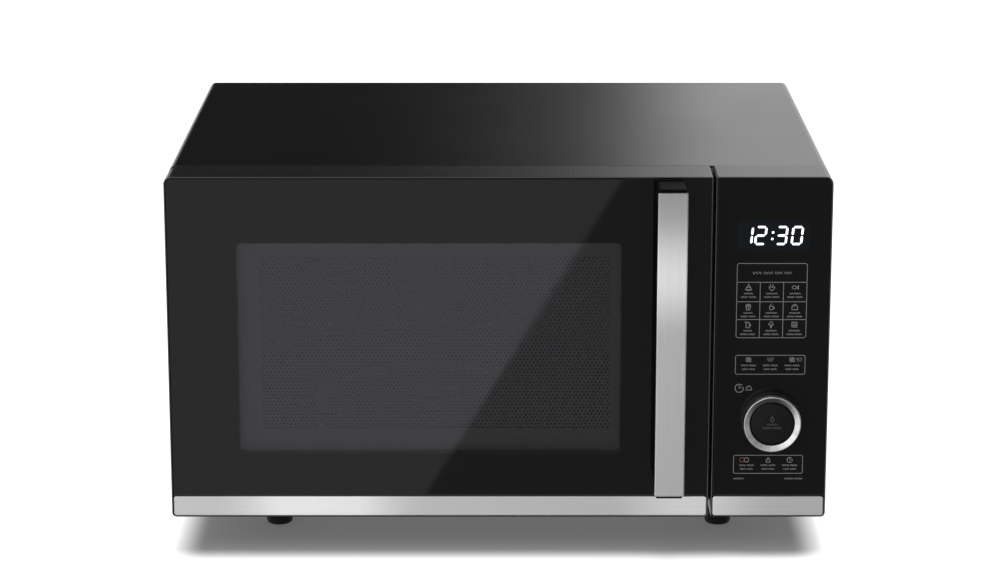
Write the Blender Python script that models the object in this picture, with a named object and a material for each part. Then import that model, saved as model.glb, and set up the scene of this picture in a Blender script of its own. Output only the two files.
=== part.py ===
"""Countertop turntable microwave oven with grill, modelled as an assembly.

Metres, +Z up, the door facing -Y, origin on the floor at the middle of the bounding box.
X is measured from the middle of the cabinet. Distances along Y are given as depth behind
the front face of the door glass, and y_at() turns them into world Y.
"""
import math

import bmesh
import bpy
from mathutils import Matrix, Vector

# Driving dimensions
WIDTH = 0.440
HEIGHT = 0.258
DEPTH = 0.340                # front of the glass to the back of the cable gland
HANDLE_REACH = 0.031         # front of the handle ahead of the glass
FOOT_HEIGHT = 0.0236         # floor to the underside of the cabinet
FRAME_DEPTH = 0.035          # thickness of the door
DOOR_RIGHT = 0.1411
PANEL_LEFT = 0.1429
RIM = 0.0010                 # moulded rim left round the glass and the strips
STRIP_TOP = 0.0384           # bottom trim strips, floor to upper edge
STRIP_CORNER = 0.0016
GAP = 0.0003                 # between pieces that touch
SHEET = 0.0008               # folded sheet steel

GLASS_Y = HANDLE_REACH - (DEPTH + HANDLE_REACH) / 2
HALF = WIDTH / 2
GLASS_THICK = 0.0032
RECESS = GLASS_THICK + GAP   # depth of the seats for glass and strips
WALL_REAR = 0.0080           # back of the mouldings' front wall
WALL = 0.0025                # side walls of the mouldings
PLATE_FRONT = 0.0360         # steel front plate
PLATE_REAR = 0.0372
BODY_FRONT = 0.0366          # front edge of the wrap
BODY_REAR = 0.3383

# Hinge, latch, knob and handle
PIN_X = -0.2140
PIN_DEPTH = 0.0290
PIN_RADIUS = 0.0020
EDGE_RADIUS = 0.0059         # the door's rear left edge, turned about the pin
TONGUE_Z = (0.2480, HEIGHT + FOOT_HEIGHT - 0.2480)
LATCH_X = (0.1245, 0.1295)
HOOK_Z = (0.0900, 0.2100)
KNOB_X = 0.1821
KNOB_Z = 0.0920
DISPLAY_X = (0.1570, 0.2050)
DISPLAY_Z = (0.2080, 0.2290)
HANDLE_X = 0.1131
HANDLE_SCREW_Z = (0.0530, 0.2490)

# Oven cavity, inside faces
CAVITY_X = (-0.2045, 0.1105)
CAVITY_Z = (0.0440, 0.2420)
CAVITY_DEPTH = (0.0376, 0.3270)
TABLE_X = (CAVITY_X[0] + CAVITY_X[1]) / 2
TABLE_DEPTH = 0.1825
WHEEL_CIRCLE = 0.0900
WHEEL_RADIUS = 0.0077
WHEEL_Z = CAVITY_Z[0] + WHEEL_RADIUS + GAP
FAN_X = 0.1660
FAN_Z = 0.1925


def shrunk(limits):
    """Limits of a piece that fits an opening with the usual gap on both sides."""
    return (limits[0] + GAP, limits[1] - GAP)


def y_at(depth):
    """World Y of a place the given depth behind the front of the glass."""
    return GLASS_Y + depth


def clear_scene():
    for item in list(bpy.data.objects):
        bpy.data.objects.remove(item, do_unlink=True)


def finish_material(name, color, roughness, metallic=0.0, alpha=1.0):
    """Principled material, made once for each finish."""
    found = bpy.data.materials.get(name)
    if found:
        return found
    made = bpy.data.materials.new(name)
    made.use_nodes = True
    shader = made.node_tree.nodes["Principled BSDF"]
    shader.inputs["Base Color"].default_value = (*color, 1.0)
    shader.inputs["Roughness"].default_value = roughness
    shader.inputs["Metallic"].default_value = metallic
    shader.inputs["Alpha"].default_value = alpha
    return made


def black_paint():
    return finish_material("black_paint", (0.012, 0.012, 0.013), 0.28)


def black_plastic():
    return finish_material("black_plastic", (0.011, 0.011, 0.012), 0.30)


def black_glass():
    return finish_material("black_glass", (0.006, 0.006, 0.007), 0.05)


def dark_rubber():
    return finish_material("dark_rubber", (0.015, 0.015, 0.015), 0.75)


def brushed_steel():
    return finish_material("brushed_steel", (0.62, 0.62, 0.61), 0.30, 1.0)


def zinc_steel():
    return finish_material("zinc_steel", (0.55, 0.56, 0.57), 0.42, 1.0)


def enamel():
    return finish_material("enamel", (0.33, 0.34, 0.35), 0.35)


def clear_glass():
    return finish_material("clear_glass", (0.85, 0.90, 0.90), 0.03, 0.0, 0.35)


def pale_plastic():
    return finish_material("pale_plastic", (0.72, 0.71, 0.67), 0.45)


def circuit_board():
    return finish_material("circuit_board", (0.05, 0.16, 0.07), 0.55)


def copper_wire():
    return finish_material("copper_wire", (0.55, 0.22, 0.10), 0.40, 0.8)


def mica():
    return finish_material("mica", (0.46, 0.40, 0.32), 0.50)


def heater_steel():
    return finish_material("heater_steel", (0.16, 0.15, 0.14), 0.50, 0.9)


def add_solid(name, bm, finish):
    """Object from a bmesh, its faces turned outwards and its round parts shaded smooth."""
    bmesh.ops.recalc_face_normals(bm, faces=bm.faces)
    mesh = bpy.data.meshes.new(name)
    bm.to_mesh(mesh)
    bm.free()
    mesh.shade_smooth()
    mesh.set_sharp_from_angle(angle=math.radians(35))
    made = bpy.data.objects.new(name, mesh)
    if finish:
        mesh.materials.append(finish)
    bpy.context.scene.collection.objects.link(made)
    return made


def add_box(bm, x, depth, z):
    """Box between two limits on each axis."""
    size = Vector((x[1] - x[0], depth[1] - depth[0], z[1] - z[0]))
    middle = Vector(((x[0] + x[1]) / 2, y_at((depth[0] + depth[1]) / 2), (z[0] + z[1]) / 2))
    place = Matrix.Translation(middle) @ Matrix.Diagonal((*size, 1.0))
    bmesh.ops.create_cube(bm, size=1.0, matrix=place)


def block(name, x, depth, z, finish=None):
    bm = bmesh.new()
    add_box(bm, x, depth, z)
    return add_solid(name, bm, finish)


def place_point(axis, first, second, along):
    """World point from outline coordinates and a place along the axis of extrusion."""
    if axis == "X":
        return Vector((along, y_at(first), second))
    if axis == "Y":
        return Vector((first, y_at(along), second))
    return Vector((first, y_at(second), along))


def add_prism(bm, outline, axis, span):
    """Outline of (x, z), (depth, z) or (x, depth) points, extruded along the third axis."""
    low = [bm.verts.new(place_point(axis, a, b, span[0])) for a, b in outline]
    high = [bm.verts.new(place_point(axis, a, b, span[1])) for a, b in outline]
    bm.faces.new(low)
    bm.faces.new(list(reversed(high)))
    for index in range(len(outline)):
        after = (index + 1) % len(outline)
        bm.faces.new((low[index], high[index], high[after], low[after]))


def prism(name, outline, axis, span, finish=None):
    bm = bmesh.new()
    add_prism(bm, outline, axis, span)
    return add_solid(name, bm, finish)


def arc(centre, radius, start, end, steps):
    """Points round a circle from one angle to another, in degrees."""
    points = []
    for step in range(steps + 1):
        angle = math.radians(start + (end - start) * step / steps)
        points.append((centre[0] + radius * math.cos(angle), centre[1] + radius * math.sin(angle)))
    return points


def rounded_outline(x, z, radii, steps=4):
    """Rectangle whose corners are arcs: radii are lower left, lower right, upper right, upper left."""
    corners = ((x[0], z[0], 1, 1), (x[1], z[0], -1, 1), (x[1], z[1], -1, -1), (x[0], z[1], 1, -1))
    points = []
    for index, (corner_x, corner_z, side, rise) in enumerate(corners):
        radius = radii[index]
        centre = (corner_x + side * radius, corner_z + rise * radius)
        start = 180 + 90 * index
        points += arc(centre, radius, start, start + 90, steps)
    return points


def add_turned(bm, profile, axis, centre, steps):
    """Closed loop of (radius, height) points turned round an axis through the centre."""
    rings = []
    for radius, height in profile:
        count = 1 if radius == 0 else steps
        ring = []
        for step in range(count):
            angle = 2 * math.pi * (step + 0.5) / steps
            first = centre[0] + radius * math.cos(angle)
            second = centre[1] + radius * math.sin(angle)
            ring.append(bm.verts.new(place_point(axis, first, second, height)))
        rings.append(ring)
    for index, ring in enumerate(rings):
        after = rings[(index + 1) % len(rings)]
        if len(ring) == 1 and len(after) == 1:
            continue
        for step in range(steps):
            beside = (step + 1) % steps
            corners = [ring[step % len(ring)], ring[beside % len(ring)]]
            corners += [after[beside % len(after)], after[step % len(after)]]
            bm.faces.new(list(dict.fromkeys(corners)))


def turned(name, profile, axis, centre, finish=None, steps=32):
    bm = bmesh.new()
    add_turned(bm, profile, axis, centre, steps)
    return add_solid(name, bm, finish)


def rod_profile(radius, low, high):
    """Profile of a plain round rod."""
    return [(0, low), (radius, low), (radius, high), (0, high)]


def sleeve_profile(inner, outer, low, high):
    """Profile of a plain tube."""
    return [(inner, low), (outer, low), (outer, high), (inner, high)]


def tube_along(name, points, radius, sides, finish):
    """Round rod carried along a path of world points, closed at both ends."""
    bm = bmesh.new()
    rings = []
    side = None
    for index, point in enumerate(points):
        before = points[max(index - 1, 0)]
        after = points[min(index + 1, len(points) - 1)]
        forward = (after - before).normalized()
        side = side - forward * side.dot(forward) if side else forward.orthogonal()
        side.normalize()
        over = forward.cross(side)
        ring = []
        for step in range(sides):
            angle = 2 * math.pi * step / sides
            offset = radius * (math.cos(angle) * side + math.sin(angle) * over)
            ring.append(bm.verts.new(point + offset))
        rings.append(ring)
    for low, high in zip(rings, rings[1:]):
        for step in range(sides):
            beside = (step + 1) % sides
            bm.faces.new((low[step], low[beside], high[beside], high[step]))
    bm.faces.new(rings[0])
    bm.faces.new(rings[-1])
    return add_solid(name, bm, finish)


def apply_tool(target, tool, operation):
    """Exact Boolean with a hidden helper solid that stays with its target."""
    tool.hide_render = True
    tool.display_type = "WIRE"
    tool.parent = target
    tool.location = -target.location
    modifier = target.modifiers.new(tool.name, "BOOLEAN")
    modifier.operation = operation
    modifier.solver = "EXACT"
    modifier.object = tool


def cut(target, *tools):
    for tool in tools:
        apply_tool(target, tool, "DIFFERENCE")


def unite(target, *tools):
    for tool in tools:
        apply_tool(target, tool, "UNION")


def boxes(name, limits):
    """One helper made of several separate boxes."""
    bm = bmesh.new()
    for x, depth, z in limits:
        add_box(bm, x, depth, z)
    return add_solid(name, bm, None)


def rods(name, radius, axis, centres, span, steps=16):
    """One helper made of several separate round rods."""
    bm = bmesh.new()
    for centre in centres:
        add_turned(bm, rod_profile(radius, *span), axis, centre, steps)
    return add_solid(name, bm, None)


def pivot(name, place, parent=None):
    """Empty on a joint's axis."""
    made = bpy.data.objects.new(name, None)
    made.empty_display_size = 0.02
    bpy.context.scene.collection.objects.link(made)
    made.location = Vector(place)
    if parent:
        made.parent = parent
        made.location = Vector(place) - parent.location
    return made


def carry(holder, place, *pieces):
    """Parent pieces to a pivot at the given world place and leave them where they are."""
    for piece in pieces:
        piece.parent = holder
        piece.location = piece.location - Vector(place)


# ---------------------------------------------------------------- cabinet

def cabinet_wrap():
    """Folded top and sides, with air slots low down in the right side."""
    radius = 0.005
    bottom = FOOT_HEIGHT
    outer = [(-HALF, bottom)] + arc((-HALF + radius, HEIGHT - radius), radius, 180, 90, 6)
    outer += arc((HALF - radius, HEIGHT - radius), radius, 90, 0, 6) + [(HALF, bottom)]
    inner_radius = radius - SHEET
    inner = [(HALF - SHEET, bottom)] + arc((HALF - radius, HEIGHT - radius), inner_radius, 0, 90, 6)
    inner += arc((-HALF + radius, HEIGHT - radius), inner_radius, 90, 180, 6) + [(-HALF + SHEET, bottom)]
    wrap = prism("cabinet_wrap", outer + inner, "Y", (BODY_FRONT, BODY_REAR), black_paint())
    slot_count = 9
    slots = []
    for index in range(slot_count):
        start = 0.2300 + index * 0.0100
        slots.append(((HALF - 0.002, HALF + 0.001), (start, start + 0.0035), (0.0450, 0.0800)))
    cut(wrap, boxes("wrap_air_slots", slots))
    return wrap


def base_plate():
    """Shallow steel tray that carries everything, with holes for the feet."""
    side = HALF - SHEET - 0.0004
    front, rear = PLATE_REAR + GAP, 0.3366
    base = block("base_plate", (-side, side), (front, rear), (FOOT_HEIGHT, FOOT_HEIGHT + 0.008),
                 zinc_steel())
    tray = block("base_hollow", (-side + SHEET, side - SHEET), (front + SHEET, rear - SHEET),
                 (FOOT_HEIGHT + SHEET, FOOT_HEIGHT + 0.009))
    holes = rods("base_foot_holes", 0.0038, "Z", foot_places(), (FOOT_HEIGHT - 0.001, FOOT_HEIGHT + 0.003))
    cut(base, tray, holes)
    return base


def foot_places():
    """Middle of each foot as (x, depth)."""
    return [(side * 0.1520, depth) for side in (-1, 1) for depth in (0.0610, 0.2950)]


def feet():
    """Rubber feet, each with a spigot through the base."""
    names = ("foot_front_left", "foot_rear_left", "foot_front_right", "foot_rear_right")
    top = FOOT_HEIGHT - GAP
    profile = [(0, 0), (0.0080, 0), (0.0090, 0.0015), (0.0090, 0.0060), (0.0075, 0.0065)]
    profile += [(0.0085, top - 0.002), (0.0110, top - 0.0015), (0.0110, top), (0.0035, top)]
    profile += [(0.0035, FOOT_HEIGHT + 0.0030), (0, FOOT_HEIGHT + 0.0030)]
    for name, place in zip(names, foot_places()):
        turned(name, profile, "Z", place, dark_rubber(), 16)


def back_panel():
    """Rear sheet with the gland hole and two rows of air slots."""
    side = HALF - SHEET - 0.0005
    outline = rounded_outline((-side, side), (FOOT_HEIGHT + 0.0100, HEIGHT - SHEET - 0.0005),
                              (0.001, 0.001, 0.004, 0.004))
    panel = prism("back_panel", outline, "Y", (0.3370, 0.3380), zinc_steel())
    slots = []
    for row in range(2):
        for column in range(8):
            start = 0.1280 + column * 0.0100
            low = 0.1560 + row * 0.0400
            slots.append(((start, start + 0.0040), (0.3360, 0.3390), (low, low + 0.0300)))
    gland_hole = rods("back_gland_hole", 0.0082, "Y", [(0.1900, 0.0500)], (0.3360, 0.3390), 24)
    cut(panel, boxes("back_air_slots", slots), gland_hole)
    return panel


def cord_gland():
    """Flanged rubber bush in the back panel, open where the mains cord enters."""
    profile = [(0.0040, 0.3300), (0.0079, 0.3300), (0.0079, 0.3383), (0.0110, 0.3383)]
    profile += [(0.0110, 0.3392), (0.0095, DEPTH), (0.0040, DEPTH)]
    return turned("cord_gland", profile, "Y", (0.1900, 0.0500), dark_rubber(), 24)


def hook_slot(low_hook, margin_x, below, above):
    """Limits of an opening round one latch hook, as x and z pairs."""
    return ((LATCH_X[0] - margin_x, LATCH_X[1] + margin_x), (low_hook - below, low_hook + above))


def front_plate():
    """Steel face behind the door, open to the cavity and slotted for hinges and hooks."""
    side = HALF - SHEET - 0.0006
    low, high = FOOT_HEIGHT + 0.0014, HEIGHT - SHEET - 0.0005
    outline = rounded_outline((-side, side), (low, high), (0.001, 0.001, 0.004, 0.004))
    plate = prism("front_plate", outline, "Y", (PLATE_FRONT, PLATE_REAR), enamel())
    through = (PLATE_FRONT - 0.001, PLATE_REAR + 0.001)
    limits = [((CAVITY_X[0] - 0.0005, CAVITY_X[1] + 0.0005), through,
               (CAVITY_Z[0] - 0.0005, CAVITY_Z[1] + 0.0005))]
    for middle in TONGUE_Z:
        limits.append(((-HALF, PIN_X + 0.0047), through, (middle - 0.0018, middle + 0.0018)))
    for middle in HOOK_Z:
        x, z = hook_slot(middle, 0.0030, 0.0115, 0.0100)
        limits.append((x, through, z))
    limits.append(((0.1650, 0.2000), through, (0.1500, 0.1900)))
    cut(plate, boxes("plate_openings", limits))
    return plate


def cavity_liner():
    """Welded steel oven box, open at the front, pierced for coupler, waveguide, lamp and grill."""
    front, rear = CAVITY_DEPTH
    outer_x = (CAVITY_X[0] - SHEET, CAVITY_X[1] + SHEET)
    outer_z = (CAVITY_Z[0] - SHEET, CAVITY_Z[1] + SHEET)
    liner = block("cavity_liner", outer_x, (front, rear + SHEET), outer_z, enamel())
    hollow = block("liner_hollow", CAVITY_X, (front - 0.01, rear), CAVITY_Z)
    right = (CAVITY_X[1] - 0.001, CAVITY_X[1] + 0.002)
    limits = [(right, (0.1400, 0.2100), (0.1450, 0.1850))]
    for index in range(5):
        start = 0.1000 + index * 0.0040
        limits.append((right, (start, start + 0.0020), (0.1900, 0.2100)))
    floor_hole = rods("liner_floor_hole", 0.0045, "Z", [(TABLE_X, TABLE_DEPTH)], (0.0400, 0.0480))
    element = [(depth, HEATER_Z) for depth in (HEATER_PASSES[0], HEATER_PASSES[-1])]
    heater_holes = rods("liner_heater_holes", 0.0042, "X", element, (right[0], right[1]))
    cut(liner, hollow, boxes("liner_ports", limits), floor_hole, heater_holes)
    return liner


def hinge_bracket(name, middle):
    """Bracket behind the front plate whose tongue carries the hinge pin."""
    inward = 1 if middle < HEIGHT / 2 else -1
    low, high = middle - 0.0010, middle + 0.0010
    reach = 0.0260
    if inward < 0:
        outline = [(0.0250, low), (0.0376, low), (0.0376, high - reach), (0.0391, high - reach)]
        outline += [(0.0391, high), (0.0250, high)]
    else:
        outline = [(0.0250, low), (0.0391, low), (0.0391, low + reach), (0.0376, low + reach)]
        outline += [(0.0376, high), (0.0250, high)]
    bracket = prism(name, outline, "X", (PIN_X - 0.0040, PIN_X + 0.0040), zinc_steel())
    pin = rods(name + "_pin", PIN_RADIUS, "Z", [(PIN_X, PIN_DEPTH)], (middle - 0.0075, middle + 0.0075))
    unite(bracket, pin)
    return bracket


# ---------------------------------------------------------------- door

def pocket_outline(margin, right):
    """Hollow behind the door's front wall, with its left corners kept for the hinge bosses."""
    left = -HALF + WALL + margin
    step = -0.2055 + margin
    low, high = FOOT_HEIGHT + WALL + margin, HEIGHT - WALL - margin
    corner = 0.0195
    return [(step, low), (right, low), (right, high), (step, high), (step, high - corner),
            (left, high - corner), (left, low + corner), (step, low + corner)]


def door_frame():
    """Moulded door body: seats for glass and strip in front, a hollow for the choke behind."""
    outline = rounded_outline((-HALF, DOOR_RIGHT), (FOOT_HEIGHT, HEIGHT), (0.003, 0.001, 0.001, 0.005))
    frame = prism("door_frame", outline, "Y", (GAP, FRAME_DEPTH), black_plastic())
    inside_x = (-HALF + RIM, DOOR_RIGHT - RIM)
    limits = [(inside_x, (-0.001, RECESS), (STRIP_TOP + 0.0007, HEIGHT - RIM)),
              (inside_x, (-0.001, RECESS), (FOOT_HEIGHT + RIM, STRIP_TOP + 0.0001))]
    window = block("frame_window", (-0.1820, 0.0880), (0.0020, 0.0100), (0.0620, 0.2210))
    hollow = prism("frame_hollow", pocket_outline(0, DOOR_RIGHT - WALL), "Y",
                   (WALL_REAR, FRAME_DEPTH + 0.001))
    edge = [(-HALF - 0.0005, PIN_DEPTH)] + arc((PIN_X, PIN_DEPTH), EDGE_RADIUS, 180, 90, 6)
    edge += [(PIN_X, FRAME_DEPTH + 0.0005), (-HALF - 0.0005, FRAME_DEPTH + 0.0005)]
    rear_edge = prism("frame_rear_edge", edge, "Z", (FOOT_HEIGHT - 0.001, HEIGHT + 0.001))
    notches = []
    for middle in TONGUE_Z:
        notches.append(((-HALF - 0.001, PIN_X + 0.0065), (PIN_DEPTH - 0.0065, FRAME_DEPTH + 0.001),
                        (middle - 0.0015, middle + 0.0015)))
    lower_hole = rods("frame_lower_pin_hole", PIN_RADIUS + GAP, "Z", [(PIN_X, PIN_DEPTH)],
                      (TONGUE_Z[1] - 0.0080, TONGUE_Z[1] + 0.0080))
    upper_hole = rods("frame_upper_pin_hole", PIN_RADIUS + GAP, "Z", [(PIN_X, PIN_DEPTH)],
                      (TONGUE_Z[0] - 0.0080, TONGUE_Z[0] + 0.0080))
    screw_x = [(HANDLE_X, z) for z in HANDLE_SCREW_Z]
    shanks = rods("frame_screw_holes", 0.0023, "Y", screw_x, (0.0020, 0.0100))
    heads = rods("frame_screw_seats", 0.0044, "Y", screw_x, (0.0053, 0.0090))
    cut(frame, boxes("frame_seats", limits), window, hollow, rear_edge, boxes("frame_notches", notches),
        lower_hole, upper_hole, shanks, heads)
    return frame


def door_glass():
    """Outer glass with two holes for the handle screws."""
    outline = rounded_outline((-HALF + RIM + GAP, DOOR_RIGHT - RIM - GAP),
                              (STRIP_TOP + 0.0010, HEIGHT - RIM - GAP), (0.0005, 0.0005, 0.0005, 0.0040))
    glass = prism("door_glass", outline, "Y", (0, GLASS_THICK), black_glass())
    screws = [(HANDLE_X, z) for z in HANDLE_SCREW_Z]
    cut(glass, rods("glass_screw_holes", 0.0023, "Y", screws, (-0.001, 0.005)))
    return glass


def trim_strip(name, left, right):
    """Brushed metal strip along the bottom edge."""
    outline = rounded_outline((left, right), (FOOT_HEIGHT + RIM + 0.0002, STRIP_TOP - 0.0001),
                              (STRIP_CORNER,) * 4, 3)
    return prism(name, outline, "Y", (-GAP, GLASS_THICK), brushed_steel())


def door_screen():
    """Pressed steel microwave screen with its choke walls folded back."""
    pan = prism("door_screen", pocket_outline(0.0006, 0.1185), "Y", (WALL_REAR + GAP, 0.0290), zinc_steel())
    hollow = prism("screen_hollow", pocket_outline(0.0006 + SHEET, 0.1185 - SHEET), "Y",
                   (WALL_REAR + GAP + SHEET, 0.0300))
    cut(pan, hollow)
    return pan


def choke_cover():
    """Plastic ring that closes the choke behind the door, slotted for the hooks."""
    cover = prism("door_choke_cover", pocket_outline(0.0004, DOOR_RIGHT - WALL - 0.0004), "Y",
                  (0.0300, 0.0345), black_plastic())
    limits = [((-0.1800, 0.0860), (0.0290, 0.0360), (0.0640, 0.2190))]
    for middle in HOOK_Z:
        x, z = hook_slot(middle, 0.0012, 0.0100, 0.0090)
        limits.append((x, (0.0290, 0.0360), z))
    cut(cover, boxes("cover_openings", limits))
    return cover


def inner_window():
    return block("door_inner_window", (-0.1797, 0.0857), (0.0310, 0.0325), (0.0643, 0.2187), clear_glass())


def handle_core():
    """Bracket-shaped grip: a long bar held off the glass by an arm at each end."""
    front, back = -HANDLE_REACH + 0.0022, -0.0210
    low, high = 0.0460, 0.2560
    arm = 0.0140
    outline = [(-GAP, low), (-GAP, low + arm), (back, low + arm + 0.006), (back, high - arm - 0.006)]
    outline += [(-GAP, high - arm), (-GAP, high), (front, high), (front, low)]
    core = prism("handle_core", outline, "X", (HANDLE_X - 0.0088, HANDLE_X + 0.0088), black_plastic())
    screws = [(HANDLE_X, z) for z in HANDLE_SCREW_Z]
    cut(core, rods("core_screw_holes", 0.0021, "Y", screws, (-0.0140, 0.001)))
    return core


def handle_plate():
    """Brushed face plate along the whole grip."""
    outline = rounded_outline((HANDLE_X - 0.00985, HANDLE_X + 0.00985), (0.0480, 0.2540),
                              (0.0008, 0.0008, 0.0008, 0.0008), 2)
    return prism("handle_plate", outline, "Y", (-HANDLE_REACH, -HANDLE_REACH + 0.0020), brushed_steel())


def handle_screws():
    """Two screws that hold the handle from inside the door."""
    profile = [(0, -0.0125), (0.0018, -0.0125), (0.0018, 0.0056), (0.0040, 0.0056)]
    profile += [(0.0034, 0.0077), (0, 0.0077)]
    names = ("handle_screw_lower", "handle_screw_upper")
    places = [(HANDLE_X, z) for z in HANDLE_SCREW_Z]
    return [turned(name, profile, "Y", place, zinc_steel(), 12) for name, place in zip(names, places)]


def door_latch():
    """Sprung bar inside the door whose two hooks reach through the front plate."""
    bar_front, bar_rear, tip = 0.0150, 0.0230, 0.0570
    beak_start, beak_drop = 0.0510, 0.0040
    low, high = HOOK_Z[0] - 0.0150, HOOK_Z[1] + 0.0150
    outline = [(bar_front, low), (bar_rear, low)]
    for middle in HOOK_Z:
        under, over = middle - 0.0050, middle + 0.0050
        outline += [(bar_rear, under), (beak_start, under), (beak_start, under - beak_drop)]
        outline += [(tip - 0.0020, under - beak_drop), (tip, under + 0.0010), (tip - 0.0030, over)]
        outline += [(bar_rear, over)]
    outline += [(bar_rear, high), (bar_front, high)]
    return prism("door_latch", outline, "X", LATCH_X, pale_plastic())


def latch_spring():
    """Compression spring between the latch and the door's top wall."""
    turns, per_turn, coil_radius, wire = 8, 10, 0.0032, 0.00045
    low = HOOK_Z[1] + 0.0150 + GAP + wire
    high = HEIGHT - WALL - GAP - wire
    middle_x = (LATCH_X[0] + LATCH_X[1]) / 2
    points = []
    for step in range(turns * per_turn + 1):
        angle = 2 * math.pi * step / per_turn
        rise = low + (high - low) * step / (turns * per_turn)
        points.append(Vector((middle_x + coil_radius * math.cos(angle),
                              y_at(0.0190) + coil_radius * math.sin(angle), rise)))
    return tube_along("latch_spring", points, wire, 5, zinc_steel())


# ---------------------------------------------------------------- control panel

def control_housing():
    """Moulded box beside the door, open behind, that carries the controls."""
    outline = rounded_outline((PANEL_LEFT, HALF), (FOOT_HEIGHT, HEIGHT), (0.001, 0.003, 0.005, 0.001))
    housing = prism("control_housing", outline, "Y", (GAP, PLATE_FRONT - GAP), black_plastic())
    inside_x = (PANEL_LEFT + RIM, HALF - RIM)
    seats = [(inside_x, (-0.001, RECESS), (STRIP_TOP + 0.0007, HEIGHT - RIM)),
             (inside_x, (-0.001, RECESS), (FOOT_HEIGHT + RIM, STRIP_TOP + 0.0001))]
    hollow = block("housing_hollow", (PANEL_LEFT + WALL, HALF - WALL), (WALL_REAR, 0.0370),
                   (FOOT_HEIGHT + WALL, HEIGHT - WALL))
    display = block("housing_display_hole", DISPLAY_X, (0.0020, 0.0090), DISPLAY_Z)
    knob = rods("housing_knob_hole", 0.0155, "Y", [(KNOB_X, KNOB_Z)], (0.0020, 0.0090), 32)
    cut(housing, boxes("housing_seats", seats), hollow, display, knob)
    return housing


def control_fascia():
    """Black glass face of the panel with a round opening for the selector."""
    outline = rounded_outline((PANEL_LEFT + RIM + GAP, HALF - RIM - GAP),
                              (STRIP_TOP + 0.0010, HEIGHT - RIM - GAP), (0.0005, 0.0005, 0.0040, 0.0005))
    fascia = prism("control_fascia", outline, "Y", (0, GLASS_THICK), black_glass())
    cut(fascia, rods("fascia_knob_hole", 0.0154, "Y", [(KNOB_X, KNOB_Z)], (-0.001, 0.005), 32))
    return fascia


def control_insides():
    """Display module and rotary encoder on the board behind the panel."""
    block("display_module", shrunk(DISPLAY_X), (0.0036, 0.0197), shrunk(DISPLAY_Z), black_plastic())
    block("control_board", (0.1470, 0.2150), (0.0200, 0.0216), (0.0450, 0.2450), circuit_board())
    turned("encoder_body", sleeve_profile(0.0062, 0.0145, 0.0085, 0.0197), "Y", (KNOB_X, KNOB_Z),
           black_plastic(), 24)


def knob_ring():
    """Turned selector ring with a sleeve that reaches the encoder."""
    profile = [(0.0197, -0.0006), (0.0194, -0.0090), (0.0184, -0.0116), (0.0149, -0.0104)]
    profile += [(0.0149, -0.0030), (0.0136, -0.0030), (0.0136, 0.0075), (0.0149, 0.0075)]
    profile += [(0.0149, -0.0006)]
    return turned("knob_ring", profile, "Y", (KNOB_X, KNOB_Z), brushed_steel(), 48)


def start_button():
    """Round key in the middle of the ring, on a stem to the board."""
    profile = [(0, -0.0104), (0.0140, -0.0100), (0.0146, -0.0092), (0.0146, -0.0050), (0.0045, -0.0050)]
    profile += [(0.0045, 0.0180), (0, 0.0180)]
    return turned("start_button", profile, "Y", (KNOB_X, KNOB_Z), black_plastic(), 48)


# ---------------------------------------------------------------- turntable and grill

HEATER_Z = 0.2330
HEATER_RADIUS = 0.0033
HEATER_PASSES = (0.1000, 0.1500, 0.2000, 0.2500)


def turntable_motor():
    """Flat geared motor under the cavity floor, open on top for the coupler's shaft."""
    profile = [(0, 0.0262), (0.0245, 0.0262), (0.0245, 0.0405), (0.0060, 0.0405), (0.0060, 0.0420)]
    profile += [(0.0033, 0.0420), (0.0033, 0.0340), (0, 0.0340)]
    turned("turntable_motor", profile, "Z", (TABLE_X, TABLE_DEPTH), zinc_steel(), 32)


def turntable_coupler():
    """Three-armed coupler on the motor's shaft, under the tray."""
    centre = (TABLE_X, TABLE_DEPTH)
    hub = [(0, 0.0345), (0.0030, 0.0345), (0.0030, 0.0446), (0.0090, 0.0446), (0.0090, 0.0570), (0, 0.0570)]
    coupler = turned("turntable_coupler", hub, "Z", centre, pale_plastic(), 24)
    arms = []
    length, half_width = 0.0200, 0.0035
    for index in range(3):
        turn = Matrix.Rotation(2 * math.pi * index / 3, 2)
        corners = [(0.004, -half_width), (length, -half_width), (length, half_width), (0.004, half_width)]
        outline = [tuple(turn @ Vector(corner) + Vector(centre)) for corner in corners]
        arms.append(prism("coupler_arm_%d" % (index + 1), outline, "Z", (0.0500, 0.0598)))
    unite(coupler, *arms)
    return coupler


def glass_turntable():
    """Glass tray with a raised rim and three drive lugs under its middle."""
    low = WHEEL_Z + WHEEL_RADIUS + GAP
    profile = [(0, low), (0.1120, low), (0.1190, low + 0.0015), (0.1275, low + 0.0125)]
    profile += [(0.1275, low + 0.0135), (0.1250, low + 0.0135), (0.1165, low + 0.0050)]
    profile += [(0.1120, low + 0.0040), (0, low + 0.0040)]
    tray = turned("glass_turntable", profile, "Z", (TABLE_X, TABLE_DEPTH), clear_glass(), 48)
    lugs = []
    for index in range(3):
        angle = math.radians(60 + 120 * index)
        lugs.append((TABLE_X + 0.0145 * math.cos(angle), TABLE_DEPTH + 0.0145 * math.sin(angle)))
    unite(tray, rods("turntable_lugs", 0.0030, "Z", lugs, (low - 0.0045, low + 0.0010), 12))
    return tray


def wheel_angles():
    return [math.radians(90 + 120 * index) for index in range(3)]


def radial_piece(name, profile, angle, finish, steps):
    """Turned piece whose axis runs outwards from the turntable's axis, with its origin on that axis."""
    bm = bmesh.new()
    add_turned(bm, profile, "X", (0, 0), steps)
    bmesh.ops.translate(bm, verts=bm.verts, vec=(0, -GLASS_Y, 0))
    piece = add_solid(name, bm, finish)
    piece.location = (TABLE_X, y_at(TABLE_DEPTH), WHEEL_Z)
    piece.rotation_euler.z = angle
    return piece


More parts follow.
